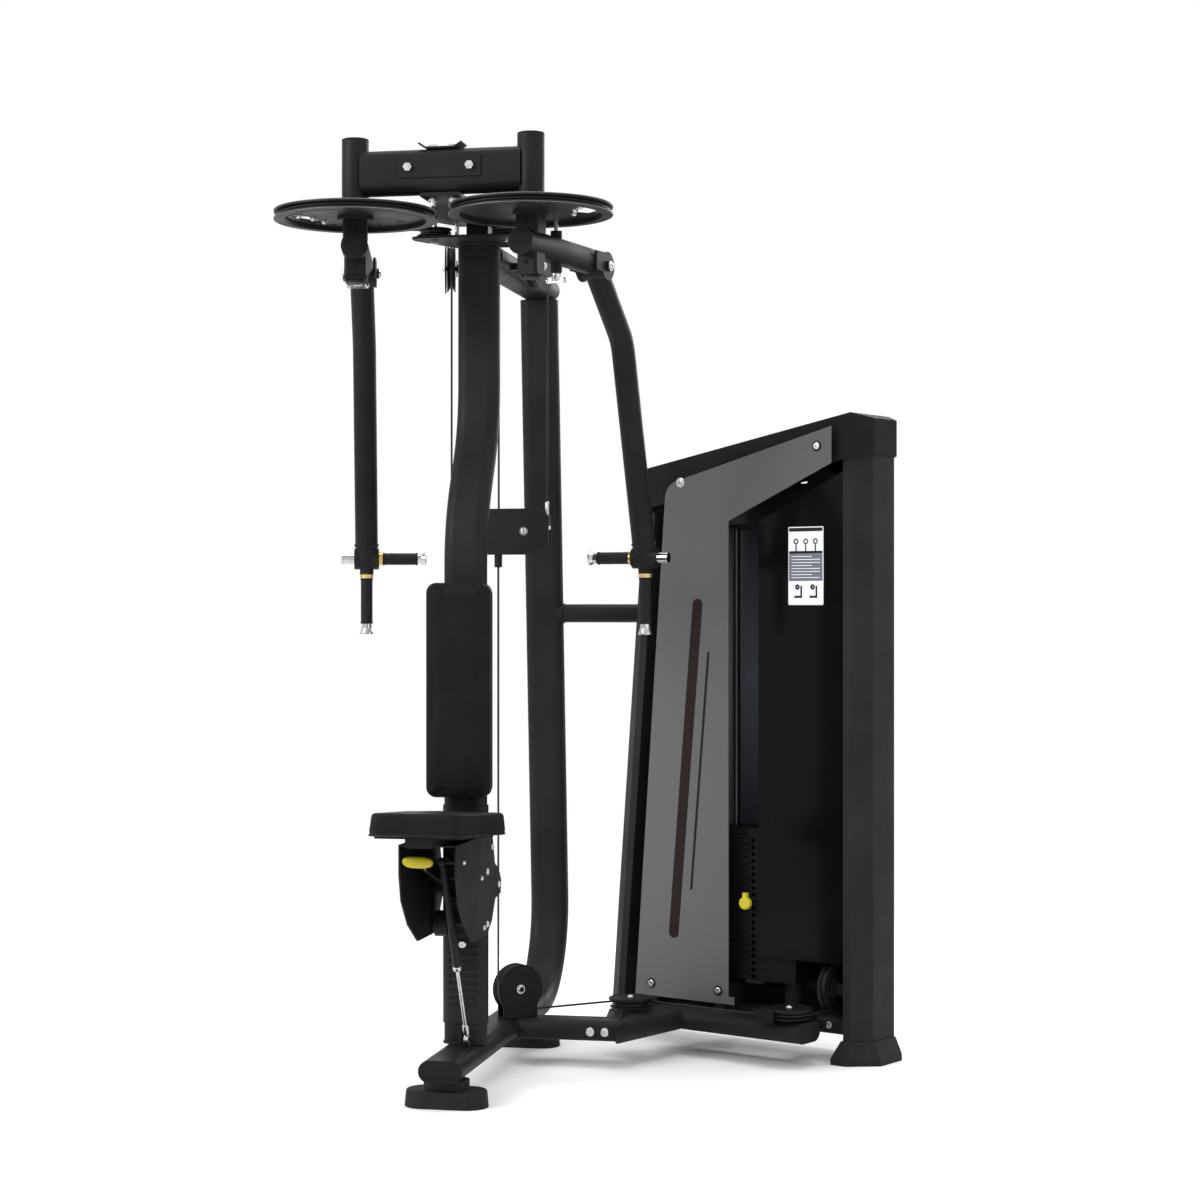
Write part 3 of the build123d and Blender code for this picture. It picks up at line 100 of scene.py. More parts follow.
class Shader:
    """A Principled material with short helpers for its procedural nodes."""

    def __init__(self, name, **sockets):
        self.material = bpy.data.materials.new(name)
        self.material.use_nodes = True
        self.tree = self.material.node_tree
        self.bsdf = self.tree.nodes["Principled BSDF"]
        for socket, value in sockets.items():
            self.bsdf.inputs[socket.replace("_", " ")].default_value = value
        self.coords = self.node("ShaderNodeTexCoord").outputs["Object"]
        self.normal = None

    def node(self, kind, **settings):
        made = self.tree.nodes.new(kind)
        for key, value in settings.items():
            setattr(made, key, value)
        return made

    def link(self, source, target):
        self.tree.links.new(source, target)

    def stretched(self, scale):
        mapping = self.node("ShaderNodeMapping")
        mapping.inputs["Scale"].default_value = scale
        self.link(self.coords, mapping.inputs["Vector"])
        return mapping.outputs["Vector"]

    def noise(self, scale, detail=3.0, rough=0.5, vector=None):
        made = self.node("ShaderNodeTexNoise")
        made.inputs["Scale"].default_value = scale
        made.inputs["Detail"].default_value = detail
        made.inputs["Roughness"].default_value = rough
        self.link(vector or self.coords, made.inputs["Vector"])
        return made.outputs["Fac"]

    def cells(self, scale, feature="F1", vector=None):
        made = self.node("ShaderNodeTexVoronoi", feature=feature)
        made.inputs["Scale"].default_value = scale
        self.link(vector or self.coords, made.inputs["Vector"])
        return made.outputs["Distance"]

    def ramp(self, factor, stops):
        made = self.node("ShaderNodeValToRGB")
        ramp = made.color_ramp
        while len(ramp.elements) < len(stops):
            ramp.elements.new(0.5)
        for element, (at, value) in zip(ramp.elements, stops):
            element.position = at
            element.color = (value, value, value, 1) if isinstance(value, float) else (*value, 1)
        self.link(factor, made.inputs["Fac"])
        return made.outputs["Color"]

    def span(self, factor, low, high, new_low=0.0, new_high=1.0):
        made = self.node("ShaderNodeMapRange")
        values = {"From Min": low, "From Max": high, "To Min": new_low, "To Max": new_high}
        for key, value in values.items():
            made.inputs[key].default_value = value
        self.link(factor, made.inputs["Value"])
        return made.outputs["Result"]

    def mix(self, factor, a, b):
        made = self.node("ShaderNodeMix", data_type="RGBA")
        first_colour, second_colour, mixed_colour = 6, 7, 2
        for index, value in ((first_colour, a), (second_colour, b)):
            if hasattr(value, "is_linked"):
                self.link(value, made.inputs[index])
            else:
                made.inputs[index].default_value = (*value, 1)
        self.link(factor, made.inputs[0])
        return made.outputs[mixed_colour]

    def maths(self, operation, a, b=None):
        made = self.node("ShaderNodeMath", operation=operation)
        for index, value in ((0, a), (1, b)):
            if hasattr(value, "is_linked"):
                self.link(value, made.inputs[index])
            elif value is not None:
                made.inputs[index].default_value = value
        return made.outputs[0]

    def height(self, axis="Z", low=0.0, high=1.0):
        made = self.node("ShaderNodeSeparateXYZ")
        self.link(self.coords, made.inputs[0])
        return self.span(made.outputs[axis], low, high)

    def edges(self, radius):
        """1 near a sharp edge and 0 on flat faces; it also softens the edge itself."""
        bevel = self.node("ShaderNodeBevel", samples=4)
        bevel.inputs["Radius"].default_value = radius
        geometry = self.node("ShaderNodeNewGeometry")
        dot = self.node("ShaderNodeVectorMath", operation="DOT_PRODUCT")
        self.link(bevel.outputs[0], dot.inputs[0])
        self.link(geometry.outputs["True Normal"], dot.inputs[1])
        self.normal = bevel.outputs[0]
        return self.span(dot.outputs["Value"], 0.995, 0.86)

    def colour(self, output):
        self.link(output, self.bsdf.inputs["Base Color"])

    def rough(self, output, low, high):
        self.link(self.span(output, 0.3, 0.7, low, high), self.bsdf.inputs["Roughness"])

    def bump(self, output, distance, strength=0.5):
        made = self.node("ShaderNodeBump")
        made.inputs["Strength"].default_value = strength
        made.inputs["Distance"].default_value = distance
        self.link(output, made.inputs["Height"])
        if self.normal:
            self.link(self.normal, made.inputs["Normal"])
        self.normal = made.outputs["Normal"]
        self.link(self.normal, self.bsdf.inputs["Normal"])


def powder_coat(name, dark, light, low=0.42, high=0.56, grain=1400, edge=1.4):
    """Baked powder coat: fine orange peel, faint clouding, thin on the edges."""
    s = Shader(name, Specular_IOR_Level=0.12)
    mask = s.edges(edge * MM)
    clouds = s.noise(7, 5)
    base = s.mix(s.span(clouds, 0.35, 0.65), dark, light)
    worn = tuple(min(1, c * 2.2 + 0.016) for c in light)
    scratches = s.maths("MULTIPLY", mask, s.span(s.noise(55, 4), 0.4, 0.62))
    s.colour(s.mix(scratches, base, worn))
    s.rough(s.noise(12, 2), low, high)
    s.bump(s.noise(grain, 2), 0.12 * MM, 0.3)
    return s.material


def bright_metal(name, colour, low, high, brushed=None, grain=900):
    s = Shader(name, Metallic=1.0)
    mask = s.edges(0.5 * MM)
    stains = s.span(s.noise(120, 5), 0.35, 0.7)
    tint = tuple(c * 0.72 for c in colour)
    s.colour(s.mix(s.maths("MULTIPLY", stains, s.maths("SUBTRACT", 1.0, mask)), colour, tint))
    vector = s.stretched(brushed) if brushed else None
    s.rough(s.noise(grain, 4, 0.6, vector), low, high)
    s.bump(s.noise(grain, 3, 0.5, vector), 0.03 * MM, 0.25)
    return s.material


def rubber(name, dark, light, grain=900, low=0.6, high=0.78):
    s = Shader(name, Specular_IOR_Level=0.2)
    mask = s.edges(1.2 * MM)
    dust = s.maths("MULTIPLY", s.span(s.noise(14, 6), 0.45, 0.75), 0.5)
    base = s.mix(dust, dark, light)
    s.colour(s.mix(s.maths("MULTIPLY", mask, 0.35), base, tuple(c * 1.8 for c in light)))
    s.rough(s.noise(60, 4), low, high)
    s.bump(s.noise(grain, 3), 0.15 * MM, 0.4)
    return s.material


def vinyl():
    """Upholstery vinyl: small leather-like grain with finer pores between the cells."""
    s = Shader("black_vinyl", Specular_IOR_Level=0.09, Sheen_Weight=0.008, Sheen_Roughness=0.45)
    clouds = s.span(s.noise(9, 4), 0.35, 0.7)
    s.colour(s.mix(clouds, (0.0050, 0.0050, 0.0053), (0.0082, 0.0082, 0.0085)))
    s.rough(s.noise(30, 4), 0.4, 0.53)
    s.bump(s.cells(620), 0.18 * MM, 0.42)
    s.bump(s.noise(2400, 2), 0.05 * MM, 0.3)
    s.bump(s.noise(16, 3), 1.2 * MM, 0.18)
    return s.material


def smoked(name, low_colour, high_colour, low_z, high_z, alpha):
    s = Shader(name, Specular_IOR_Level=0.08, Coat_Weight=0.02, Coat_Roughness=0.05, Alpha=alpha)
    s.edges(0.6 * MM)
    # Painted light: the colour runs from low_colour up to a lighter high_colour between low_z and high_z.
    s.colour(s.mix(s.height("Z", low_z, high_z), low_colour, high_colour))
    s.rough(s.noise(6, 5), 0.09, 0.17)
    s.bump(s.noise(3.5, 2), 0.8 * MM, 0.08)
    return s.material


def tinted_shroud_with_painted_sheen():
    """The rear shroud seen through the slot: blue-grey, with a painted reflection of the white
    surroundings, brightest at half height.
    """
    s = Shader("rear_shroud_with_painted_sheen", Specular_IOR_Level=0.25, Coat_Weight=0.1, Coat_Roughness=0.12)
    s.edges(0.6 * MM)
    # Painted reflection: the stops rise to a bright blue-grey band at half height and fall off above it.
    stops = [
        (0.0, (0.014, 0.015, 0.019)),
        (0.3, (0.040, 0.044, 0.056)),
        (0.62, (0.105, 0.115, 0.150)),
        (0.85, (0.060, 0.064, 0.080)),
        (1.0, (0.03, 0.032, 0.04)),
    ]
    s.colour(s.ramp(s.height("Z", 0.25, 1.35), stops))
    s.rough(s.noise(8, 4), 0.16, 0.28)
    s.bump(s.noise(4, 2), 0.6 * MM, 0.1)
    return s.material


def cast_plate():
    s = Shader("stack_iron", Specular_IOR_Level=0.12)
    mask = s.edges(1.0 * MM)
    rust = s.span(s.noise(26, 6), 0.4, 0.7)
    base = s.mix(rust, (0.0040, 0.0040, 0.0042), (0.0085, 0.0085, 0.0088))
    s.colour(s.mix(s.maths("MULTIPLY", mask, 0.7), base, (0.028, 0.028, 0.0285)))
    s.rough(s.noise(70, 5), 0.38, 0.56)
    s.bump(s.noise(420, 5), 0.22 * MM, 0.4)
    return s.material


def moulded(name, dark, light, gloss=0.35, coat=0.0):
    s = Shader(name, Specular_IOR_Level=0.25, Coat_Weight=coat, Coat_Roughness=0.1)
    mask = s.edges(0.8 * MM)
    base = s.mix(s.span(s.noise(20, 4), 0.35, 0.7), dark, light)
    s.colour(s.mix(s.maths("MULTIPLY", mask, 0.3), base, tuple(min(1, c * 1.5) for c in light)))
    s.rough(s.noise(80, 4), gloss, gloss + 0.12)
    s.bump(s.noise(1100, 2), 0.06 * MM, 0.3)
    return s.material


def panel_paint():
    """Mid grey metallic paint, with painted light making it a shade lighter towards the floor."""
    s = Shader("panel_grey", Specular_IOR_Level=0.25)
    mask = s.edges(0.9 * MM)
    # Painted light: the base grey runs from 0.104 at the floor to 0.079 near the top.
    ground = s.mix(s.height("Z", 0.1, 1.5), (0.104, 0.104, 0.104), (0.079, 0.079, 0.079))
    flakes = s.maths("MULTIPLY", s.span(s.noise(2600, 1), 0.5, 0.75), 0.25)
    base = s.mix(flakes, ground, (0.19, 0.19, 0.19))
    s.colour(s.mix(s.maths("MULTIPLY", mask, 0.55), base, (0.34, 0.34, 0.34)))
    s.rough(s.noise(24, 6), 0.4, 0.5)
    s.bump(s.noise(1700, 2), 0.05 * MM, 0.3)
    return s.material


def plywood():
    s = Shader("pad_board_ply", Specular_IOR_Level=0.3)
    s.edges(0.8 * MM)
    plies = s.noise(1.0, 2, 0.5, s.stretched((30, 420, 30)))
    grain = s.noise(1.0, 6, 0.65, s.stretched((160, 30, 9)))
    wood = s.mix(s.span(grain, 0.35, 0.65), (0.17, 0.105, 0.055), (0.34, 0.235, 0.14))
    s.colour(s.mix(s.maths("MULTIPLY", s.span(plies, 0.4, 0.6), 0.5), wood, (0.10, 0.06, 0.03)))
    s.rough(grain, 0.55, 0.72)
    s.bump(grain, 0.15 * MM, 0.4)
    return s.material


def cable_coat(name, colour):
    """Nylon over twisted strands: the lay shows as a fine slanted ripple."""
    s = Shader(name, Specular_IOR_Level=0.25)
    lay = s.noise(1.0, 2, 0.5, s.stretched((420, 420, 140)))
    s.colour(s.mix(s.span(lay, 0.4, 0.6), colour, tuple(c * 1.8 for c in colour)))
    s.rough(lay, 0.34, 0.5)
    s.bump(s.cells(1.0, "F1", s.stretched((520, 520, 230))), 0.3 * MM, 0.5)
    return s.material


def printed(name, colour, gloss=0.35, shine=0.4):
    s = Shader(name, Specular_IOR_Level=shine)
    faded = tuple(c * 0.9 for c in colour)
    s.colour(s.mix(s.span(s.noise(30, 4), 0.35, 0.75), colour, faded))
    s.rough(s.noise(45, 3), gloss, gloss + 0.1)
    s.bump(s.noise(700, 2), 0.02 * MM, 0.2)
    return s.material


def studio_floor():
    s = Shader("studio_floor", Specular_IOR_Level=0.0)
    s.colour(s.mix(s.noise(0.8, 3), (0.90, 0.90, 0.90), (0.92, 0.92, 0.92)))
    s.rough(s.noise(2, 2), 0.85, 0.95)
    reach = s.node("ShaderNodeVectorMath", operation="LENGTH")
    s.link(s.coords, reach.inputs[0])
    glow = s.node("ShaderNodeEmission")
    blend = s.node("ShaderNodeMixShader")
    s.link(s.span(reach.outputs["Value"], 1.5, 3.2), blend.inputs[0])
    s.link(s.bsdf.outputs[0], blend.inputs[1])
    s.link(glow.outputs[0], blend.inputs[2])
    s.link(blend.outputs[0], s.tree.nodes["Material Output"].inputs[0])
    return s.material


BLACK = powder_coat("frame_black", (0.0092, 0.0092, 0.0095), (0.0134, 0.0134, 0.0137))
ARM_BLACK = powder_coat("arm_black", (0.0070, 0.0070, 0.0072), (0.0108, 0.0108, 0.0110), 0.4, 0.52)
CAM_BLACK = powder_coat("cam_black", (0.013, 0.013, 0.013), (0.020, 0.020, 0.020), 0.4, 0.5, 1800, 1.0)
TOWER_BLACK = powder_coat("tower_black", (0.0125, 0.0125, 0.0128), (0.0172, 0.0172, 0.0175), 0.55, 0.68)
COVER_BLACK = powder_coat("cover_black", (0.0045, 0.0045, 0.0047), (0.0078, 0.0078, 0.0080), 0.46, 0.58)
PANEL = panel_paint()
ZINC = bright_metal("zinc_bolt", (0.62, 0.61, 0.59), 0.18, 0.34)
CHROME = bright_metal("chrome", (0.56, 0.56, 0.57), 0.08, 0.18)
ROD_STEEL = bright_metal("ground_rod", (0.60, 0.60, 0.60), 0.14, 0.28, (1, 1, 0.06))
GUIDE_STEEL = bright_metal("shaded_guide_rod", (0.085, 0.085, 0.090), 0.3, 0.45, (1, 1, 0.06))
# Painted shade: the cam rims' steel is darkened far below its own bright tone.
SHADED_CAM_RIM_METAL = bright_metal("shaded_cam_rim_steel", (0.20, 0.20, 0.20), 0.3, 0.45)
BRASS = bright_metal("brass", (0.86, 0.62, 0.20), 0.16, 0.3)
RUBBER = rubber("foot_rubber", (0.009, 0.009, 0.0092), (0.017, 0.017, 0.0175))
GRIP = rubber("grip_rubber", (0.006, 0.006, 0.0062), (0.011, 0.011, 0.0112), 1500, 0.55, 0.7)
VINYL = vinyl()
PLATE_IRON = cast_plate()
# Front shroud: near-black smoked plastic, painted a shade lighter towards the top.
SMOKED = smoked("front_shroud_smoked", (0.0022, 0.0022, 0.0024), (0.0040, 0.0040, 0.0044), 0.3, 1.4, 0.9)
# Rear shroud: blue-grey with a painted reflection band at half height.
SHEENED_REAR_SHROUD = tinted_shroud_with_painted_sheen()
NYLON = moulded("pulley_nylon", (0.0045, 0.0045, 0.0047), (0.0085, 0.0085, 0.0088), 0.38)
CAP_BLACK = powder_coat("cap_moulded", (0.0062, 0.0062, 0.0064), (0.0098, 0.0098, 0.0100), 0.58, 0.7, 1100)
YELLOW = moulded("yellow_plastic", (0.50, 0.415, 0.010), (0.58, 0.48, 0.02), 0.28, 0.2)
# Painted shade: the knob's yellow darkened for the lever, which sits in the seat's shadow.
SHADED_LEVER_PLASTIC = moulded("lever_yellow_painted_shade", (0.38, 0.32, 0.008), (0.46, 0.385, 0.015), 0.34, 0.1)
PLY = plywood()
CABLE = cable_coat("cable_black", (0.006, 0.006, 0.0063))
CABLE_GREY = cable_coat("cable_grey", (0.022, 0.017, 0.016))
WHITE_PRINT = printed("print_white", (0.80, 0.81, 0.83))
GREY_PRINT = printed("print_grey", (0.12, 0.135, 0.17))
DARK_PRINT = printed("print_dark", (0.012, 0.012, 0.014), 0.45, 0.15)
STRIPE_PRINT = printed("print_stripe", (0.017, 0.0095, 0.0085), 0.45, 0.1)

NODE_MATERIALS = {
    BLACK: "base_beam rear_column front_column rail_cover head_plates "
    "crossbar pivot_tubes cross_tube floor_beam tower_rails seat_carriage cable_yoke gas_cylinder",
    ARM_BLACK: "left_arm right_arm left_hanger right_hanger",
    CAM_BLACK: "left_cam right_cam",
    TOWER_BLACK: "tower_uprights",
    COVER_BLACK: "pulley_brackets top_link_tube",
    CAP_BLACK: "end_caps tower_cap",
    PANEL: "side_panel",
    ZINC: "frame_bolts left_pop_pin right_pop_pin",
    BRASS: "pivot_bushes",
    RUBBER: "rubber_feet tower_feet stack_bumpers",
    SMOKED: "front_shroud",
    SHEENED_REAR_SHROUD: "rear_shroud",
    ROD_STEEL: "gas_rod",
    GUIDE_STEEL: "guide_rods selector_stem",
    CHROME: "left_grip_ends right_grip_ends",
    GRIP: "left_grips right_grips",
    PLATE_IRON: "resting_plates lifted_plates",
    YELLOW: "selector_pin",
    SHADED_LEVER_PLASTIC: "seat_lever",
    NYLON: "guide_pulleys floor_pulley inner_corner_pulley outer_corner_pulley tower_pulley "
    "left_top_pulley right_top_pulley",
    CABLE: "fixed_cables drop_cables riser_cable stack_cable",
    VINYL: "back_pad seat_cushion",
    PLY: "pad_board",
}


def dress_nodes():
    for material, names in NODE_MATERIALS.items():
        for name in names.split():
            mesh = NODES[name].data
            mesh.materials.clear()
            mesh.materials.append(material)


# ---------------------------------------------------------------- mesh helpers


SHARP_ANGLE = math.radians(35)


def placed(name, data):
    """A new object, standing in the scene."""
    made = bpy.data.objects.new(name, data)
    bpy.context.scene.collection.objects.link(made)
    return made


def piece(name, points, faces, material, body, smooth=True):
    mesh = bpy.data.meshes.new(name)
    mesh.from_pydata([tuple(p) for p in points], [], faces)
    mesh.validate()
    mesh.materials.append(material)
    made = placed(name, mesh)
    if smooth:
        mesh.shade_smooth()
        mesh.set_sharp_from_angle(angle=SHARP_ANGLE)
    if body:
        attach(made, body)
    return made


def across(axis):
    """Two directions square to an axis."""
    helper = Vector((0, 0, 1)) if abs(axis.z) < 0.9 else Vector((1, 0, 0))
    one = axis.cross(helper).normalized()
    return one, axis.cross(one).normalized()


def lathe(name, start, way, profile, material, body, segments=40):
    """Turn (radius, distance) points, in mm, about the line from start along way."""
    way = Vector(way).normalized()
    one, two = across(way)
    points, faces = [], []
    for radius, far in profile:
        for i in range(segments):
            a = 2 * math.pi * i / segments
            arm = one * math.cos(a) + two * math.sin(a)
            points.append(Vector(start) + way * far * MM + arm * max(radius, 0.01) * MM)
    for row in range(len(profile) - 1):
        for i in range(segments):
            a, b = row * segments + i, row * segments + (i + 1) % segments
            faces.append((a, b, b + segments, a + segments))
    faces.append(tuple(reversed(range(segments))))
    last = (len(profile) - 1) * segments
    faces.append(tuple(range(last, last + segments)))
    return piece(name, points, faces, material, body)


def sweep(name, route, radius, material, body, closed=False, segments=12, ripple=None):
    """A round bar along points; ripple(i) scales its radius at point i."""
    count = len(route)
    points, faces = [], []
    normal = None
    for i, at in enumerate(route):
        before = route[(i - 1) % count] if closed or i else at
        after = route[(i + 1) % count] if closed or i < count - 1 else at
        way = (after - before).normalized()
        if normal is None:
            normal = across(way)[0]
        normal = (normal - way * normal.dot(way)).normalized()
        side = way.cross(normal)
        size = radius * (ripple(i) if ripple else 1) * MM
        for k in range(segments):
            a = 2 * math.pi * k / segments
            points.append(at + (normal * math.cos(a) + side * math.sin(a)) * size)
    for i in range(count if closed else count - 1):
        for k in range(segments):
            a, b = i * segments + k, i * segments + (k + 1) % segments
            c, d = ((i + 1) % count) * segments, segments
            faces.append((a, b, c + b % d, c + a % d))
    if not closed:
        faces.append(tuple(reversed(range(segments))))
        faces.append(tuple(range((count - 1) * segments, count * segments)))
    return piece(name, points, faces, material, body)


def ring_route(centre, axis, radius, count=96):
    one, two = across(Vector(axis).normalized())
    turns = [2 * math.pi * i / count for i in range(count)]
    return [centre + (one * math.cos(a) + two * math.sin(a)) * radius * MM for a in turns]


def slot_route(place, width, height, count=24):
    """Points round a flat oval; place(a, b) puts its two directions, in mm, in space."""
    radius, half = height / 2, (width - height) / 2
    straight = 14
    route = []
    for side in (1, -1):
        for i in range(count + 1):
            a = side * math.pi / 2 - math.pi * i / count
            route.append(place(side * half + radius * math.cos(a), radius * math.sin(a)))
        run = [side * half * (1 - 2 * k / straight) for k in range(1, straight)]
        route += [place(a, -side * radius) for a in run]
    return route


def flat_shape(name, outline, place, thickness, material, body):
    """A thin printed or cut shape: outline in mm, stood in space by place(a, b, depth)."""
    count = len(outline)
    points = [place(a, b, 0) for a, b in outline] + [place(a, b, thickness) for a, b in outline]
    faces = [tuple(range(count)), tuple(reversed(range(count, 2 * count)))]
    for i in range(count):
        j = (i + 1) % count
        faces.append((i, i + count, j + count, j))
    return piece(name, points, faces, material, body, smooth=False)


def rounded(width, height, radius, centre=(0, 0), steps=6):
    outline = []
    corners = ((1, 1, 0), (-1, 1, 90), (-1, -1, 180), (1, -1, 270))
    for sx, sy, turn in corners:
        for i in range(steps + 1):
            a = math.radians(turn + 90 * i / steps)
            x = centre[0] + sx * (width / 2 - radius) + radius * math.cos(a)
            outline.append((x, centre[1] + sy * (height / 2 - radius) + radius * math.sin(a)))
    return outline


def copy_of(node, name, body, choose):
    """A welded copy of a CAD node whose faces take the material that choose(centre) gives."""
    mesh = NODES[node].data.copy()
    mesh.name = name
    made = placed(name, mesh)
    found = []
    mesh.materials.clear()
    for polygon in mesh.polygons:
        material = choose(polygon.center)
        if material not in found:
            found.append(material)
            mesh.materials.append(material)
        polygon.material_index = found.index(material)
    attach(made, body)
    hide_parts(node)
    return made


def screw_head(name, at, way, radius, height, material, body):
    """Domed head with a round-bottomed key recess, on a thin washer."""
    profile = [
        (radius * 1.35, 0),
        (radius * 1.35, 0.8),
        (radius * 1.02, 0.9),
        (radius, height * 0.45 + 0.9),
        (radius * 0.86, height * 0.8 + 0.9),
        (radius * 0.62, height + 0.9),
        (radius * 0.45, height + 0.9),
        (radius * 0.42, height * 0.45 + 0.9),
        (0, height * 0.35 + 0.9),
    ]
    return lathe(name, at, way, profile, material, body)


# ---------------------------------------------------------------- frame detail


def weld(name, route, body="root", radius=2.6):
    """A weld bead: a rippled fillet painted over with the frame."""
    return sweep(name, route, radius, BLACK, body, True, 8, weld_ripple)


def weld_line(name, low, high, body="root", radius=3.0):
    count = 60
    route = [low.lerp(high, i / count) for i in range(count + 1)]
    return sweep(name, route, radius, BLACK, body, False, 8, weld_ripple)


def weld_ripple(i):
    return 1 + 0.16 * math.sin(i * 1.9)


def dense(route, step=1.6):
    """The same closed route with points about step mm apart."""
    result = []
    for i, at in enumerate(route):
        after = route[(i + 1) % len(route)]
        pieces = max(1, round((after - at).length / (step * MM)))
        result += [at.lerp(after, k / pieces) for k in range(pieces)]
    return result


def oval_weld(name, place):
    """A bead round the end of a flat oval tube."""
    width, height = 101, 51
    return weld(name, dense(slot_route(place, width, height)))


def frame_welds():
    foot_y, foot_z = 209, 111.5
    head_y, head_z = 337, 1958.5
    cross_x, cross_y, cross_z = 44, 585, 85
    oval_weld("weld_column_foot", lambda a, b: design(a, foot_y + b, foot_z))
    oval_weld("weld_column_head", lambda a, b: design(a, head_y + b, head_z))
    oval_weld("weld_cross_tube", lambda a, b: design(cross_x, cross_y + a, cross_z + b))
    brace_end, brace_radius = design(52, 1056, 1093), 24.5
    weld("weld_brace", dense(ring_route(brace_end, (1, 0, 0), brace_radius)), radius=2.4)
    tube_x, crossbar_y, low_z, high_z = 179, 27, 2038, 2100
    for side, tag in TAGS.items():
        for y, end in ((-crossbar_y, "front"), (crossbar_y, "rear")):
            low, high = design(side * tube_x, y, low_z), design(side * tube_x, y, high_z)
            weld_line(f"weld_crossbar_{tag}_{end}", low, high)


def wheel_bolt(name, joint, axis, far, radius, height):
    """A bright bolt head on a wheel's axis, far mm out from its middle."""
    at = Vector(JOINTS[joint]["pos_m"]) + axis * far * MM
    screw_head(name, at, axis, radius, height, ZINC, "root")


def pulley_bolts():
    """Bright bolts in the middle of each wheel cover."""
    axis = Vector(JOINTS["floor_pulley_spin"]["axis"])
    for side in TAGS:
        wheel_bolt(f"floor_pulley_bolt_{side + 1}", "floor_pulley_spin", axis * side, 16.6, 8, 5)
    for name in ("inner_corner", "outer_corner"):
        wheel_bolt(name + "_bolt", name + "_pulley_spin", UP, 14.6, 7.5, 4.5)
    for side, tag in TAGS.items():
        joint = tag + "_top_pulley_spin"
        axis = Vector(JOINTS[joint]["axis"])
        outwards = axis if axis.x * side > 0 else -axis
        wheel_bolt(tag + "_top_bolt", joint, outwards, 15.2, 8, 5)
    axis = Vector(JOINTS["tower_pulley_spin"]["axis"])
    for side in TAGS:
        wheel_bolt(f"tower_pulley_bolt_{side + 1}", "tower_pulley_spin", axis * side, 15.7, 7, 4)


def cover_rims():
    """Raised bead round each floor pulley cheek and corner cover."""
    cheek_face, cheek_radius = 16.3, 57.5
    cover_top, cover_radius = 14.3, 50
    floor = Vector(JOINTS["floor_pulley_spin"]["pos_m"])
    axis = Vector(JOINTS["floor_pulley_spin"]["axis"])
    for side in TAGS:
        route = ring_route(floor + axis * side * cheek_face * MM, axis, cheek_radius)
        sweep(f"floor_cover_bead_{side + 1}", route, 1.3, COVER_BLACK, "root", True, 8)
    for name in ("inner_corner", "outer_corner"):
        at = Vector(JOINTS[name + "_pulley_spin"]["pos_m"]) + UP * cover_top * MM
        sweep(name + "_cover_bead", ring_route(at, UP, cover_radius), 1.2, COVER_BLACK, "root", True, 8)


# ---------------------------------------------------------------- head and arms

CAM_GROOVE = (171.5, 1977.5)
CAM_RIM_RADIUS = 180.1
CAM_RIM_HEIGHTS = (1968.2, 1986.8)
CAM_BEAD = (157.6, 1967.2)
CAM_WEB_UNDER = 1976.8
CAM_STUDS = ((62, 98), (90, 98), (108, 126))


def cable_lay(i):
    return 1 + 0.09 * math.sin(i * 2.1)


def cam_detail(side, tag):
    """Cable in the groove, rims in steel darkened as painted shade, a bead under the web, and studs by its
    window.
    """
    pivot = RIGHT_PIVOT if side > 0 else LEFT_PIVOT
    body = tag + "_cam"

    def ring(radius, z, count):
        return ring_route(Vector((pivot.x, pivot.y, z * MM)), UP, radius, count)

    coil = sweep(tag + "_cam_cable", ring(*CAM_GROOVE, 360), 2.7, CABLE, body, True, 10, cable_lay)
    for z in CAM_RIM_HEIGHTS:
        sweep(f"{tag}_cam_rim_{round(z)}", ring(CAM_RIM_RADIUS, z, 240), 0.9, SHADED_CAM_RIM_METAL, body, True, 8)
    for turn, far in CAM_STUDS:
        a = math.radians(turn * side)
        way = Vector((math.sin(a), math.cos(a), 0))
        at = Vector((pivot.x, pivot.y, CAM_WEB_UNDER * MM)) + way * far * MM
        screw_head(f"{tag}_cam_stud_{turn}", at, -UP, 6, 6, ZINC, body)
    sweep(tag + "_cam_inner_bead", ring(*CAM_BEAD, 200), 0.8, CAM_BLACK, body, True, 8)


WRIST_V, WRIST_Z = 613, 1228
ELBOW_V, ELBOW_Z = 480, 1739
ARM_NOSE_V, ARM_Z = -52, 1905
POP_PIN_V = 126


def wrist(side, u, rise):
    """A point off the middle of the hanger's cross hub, in mm."""
    return on_arm(side, u, WRIST_V, WRIST_Z + rise)


def arm_way(side, u, v):
    """A direction of the arm: outwards with u, towards its hanger with v."""
    return (on_arm(side, u, v, 0) - on_arm(side, 0, 0, 0)).normalized()


def grip_sleeve(name, start, stop, body):
    """Rubber sleeve with fine moulded ribs and a thicker bead at each end."""
    length = (stop - start).length / MM
    core, valley, rib, skin, lip, bead = 10.2, 14.2, 14.75, 14.6, 15.2, 15.6
    profile = [(core, 0), (lip, 0), (bead, 1.2), (bead, 4.0), (skin, 5.0)]
    at = 6.0
    while at < length - 8:
        profile += [(valley, at), (rib, at + 0.8), (rib, at + 2.0), (valley, at + 2.8)]
        at += 3.6
    profile += [(skin, length - 5), (bead, length - 4), (bead, length - 1.2)]
    profile += [(lip, length), (core, length)]
    return lathe(name, start, stop - start, profile, GRIP, body, 48)


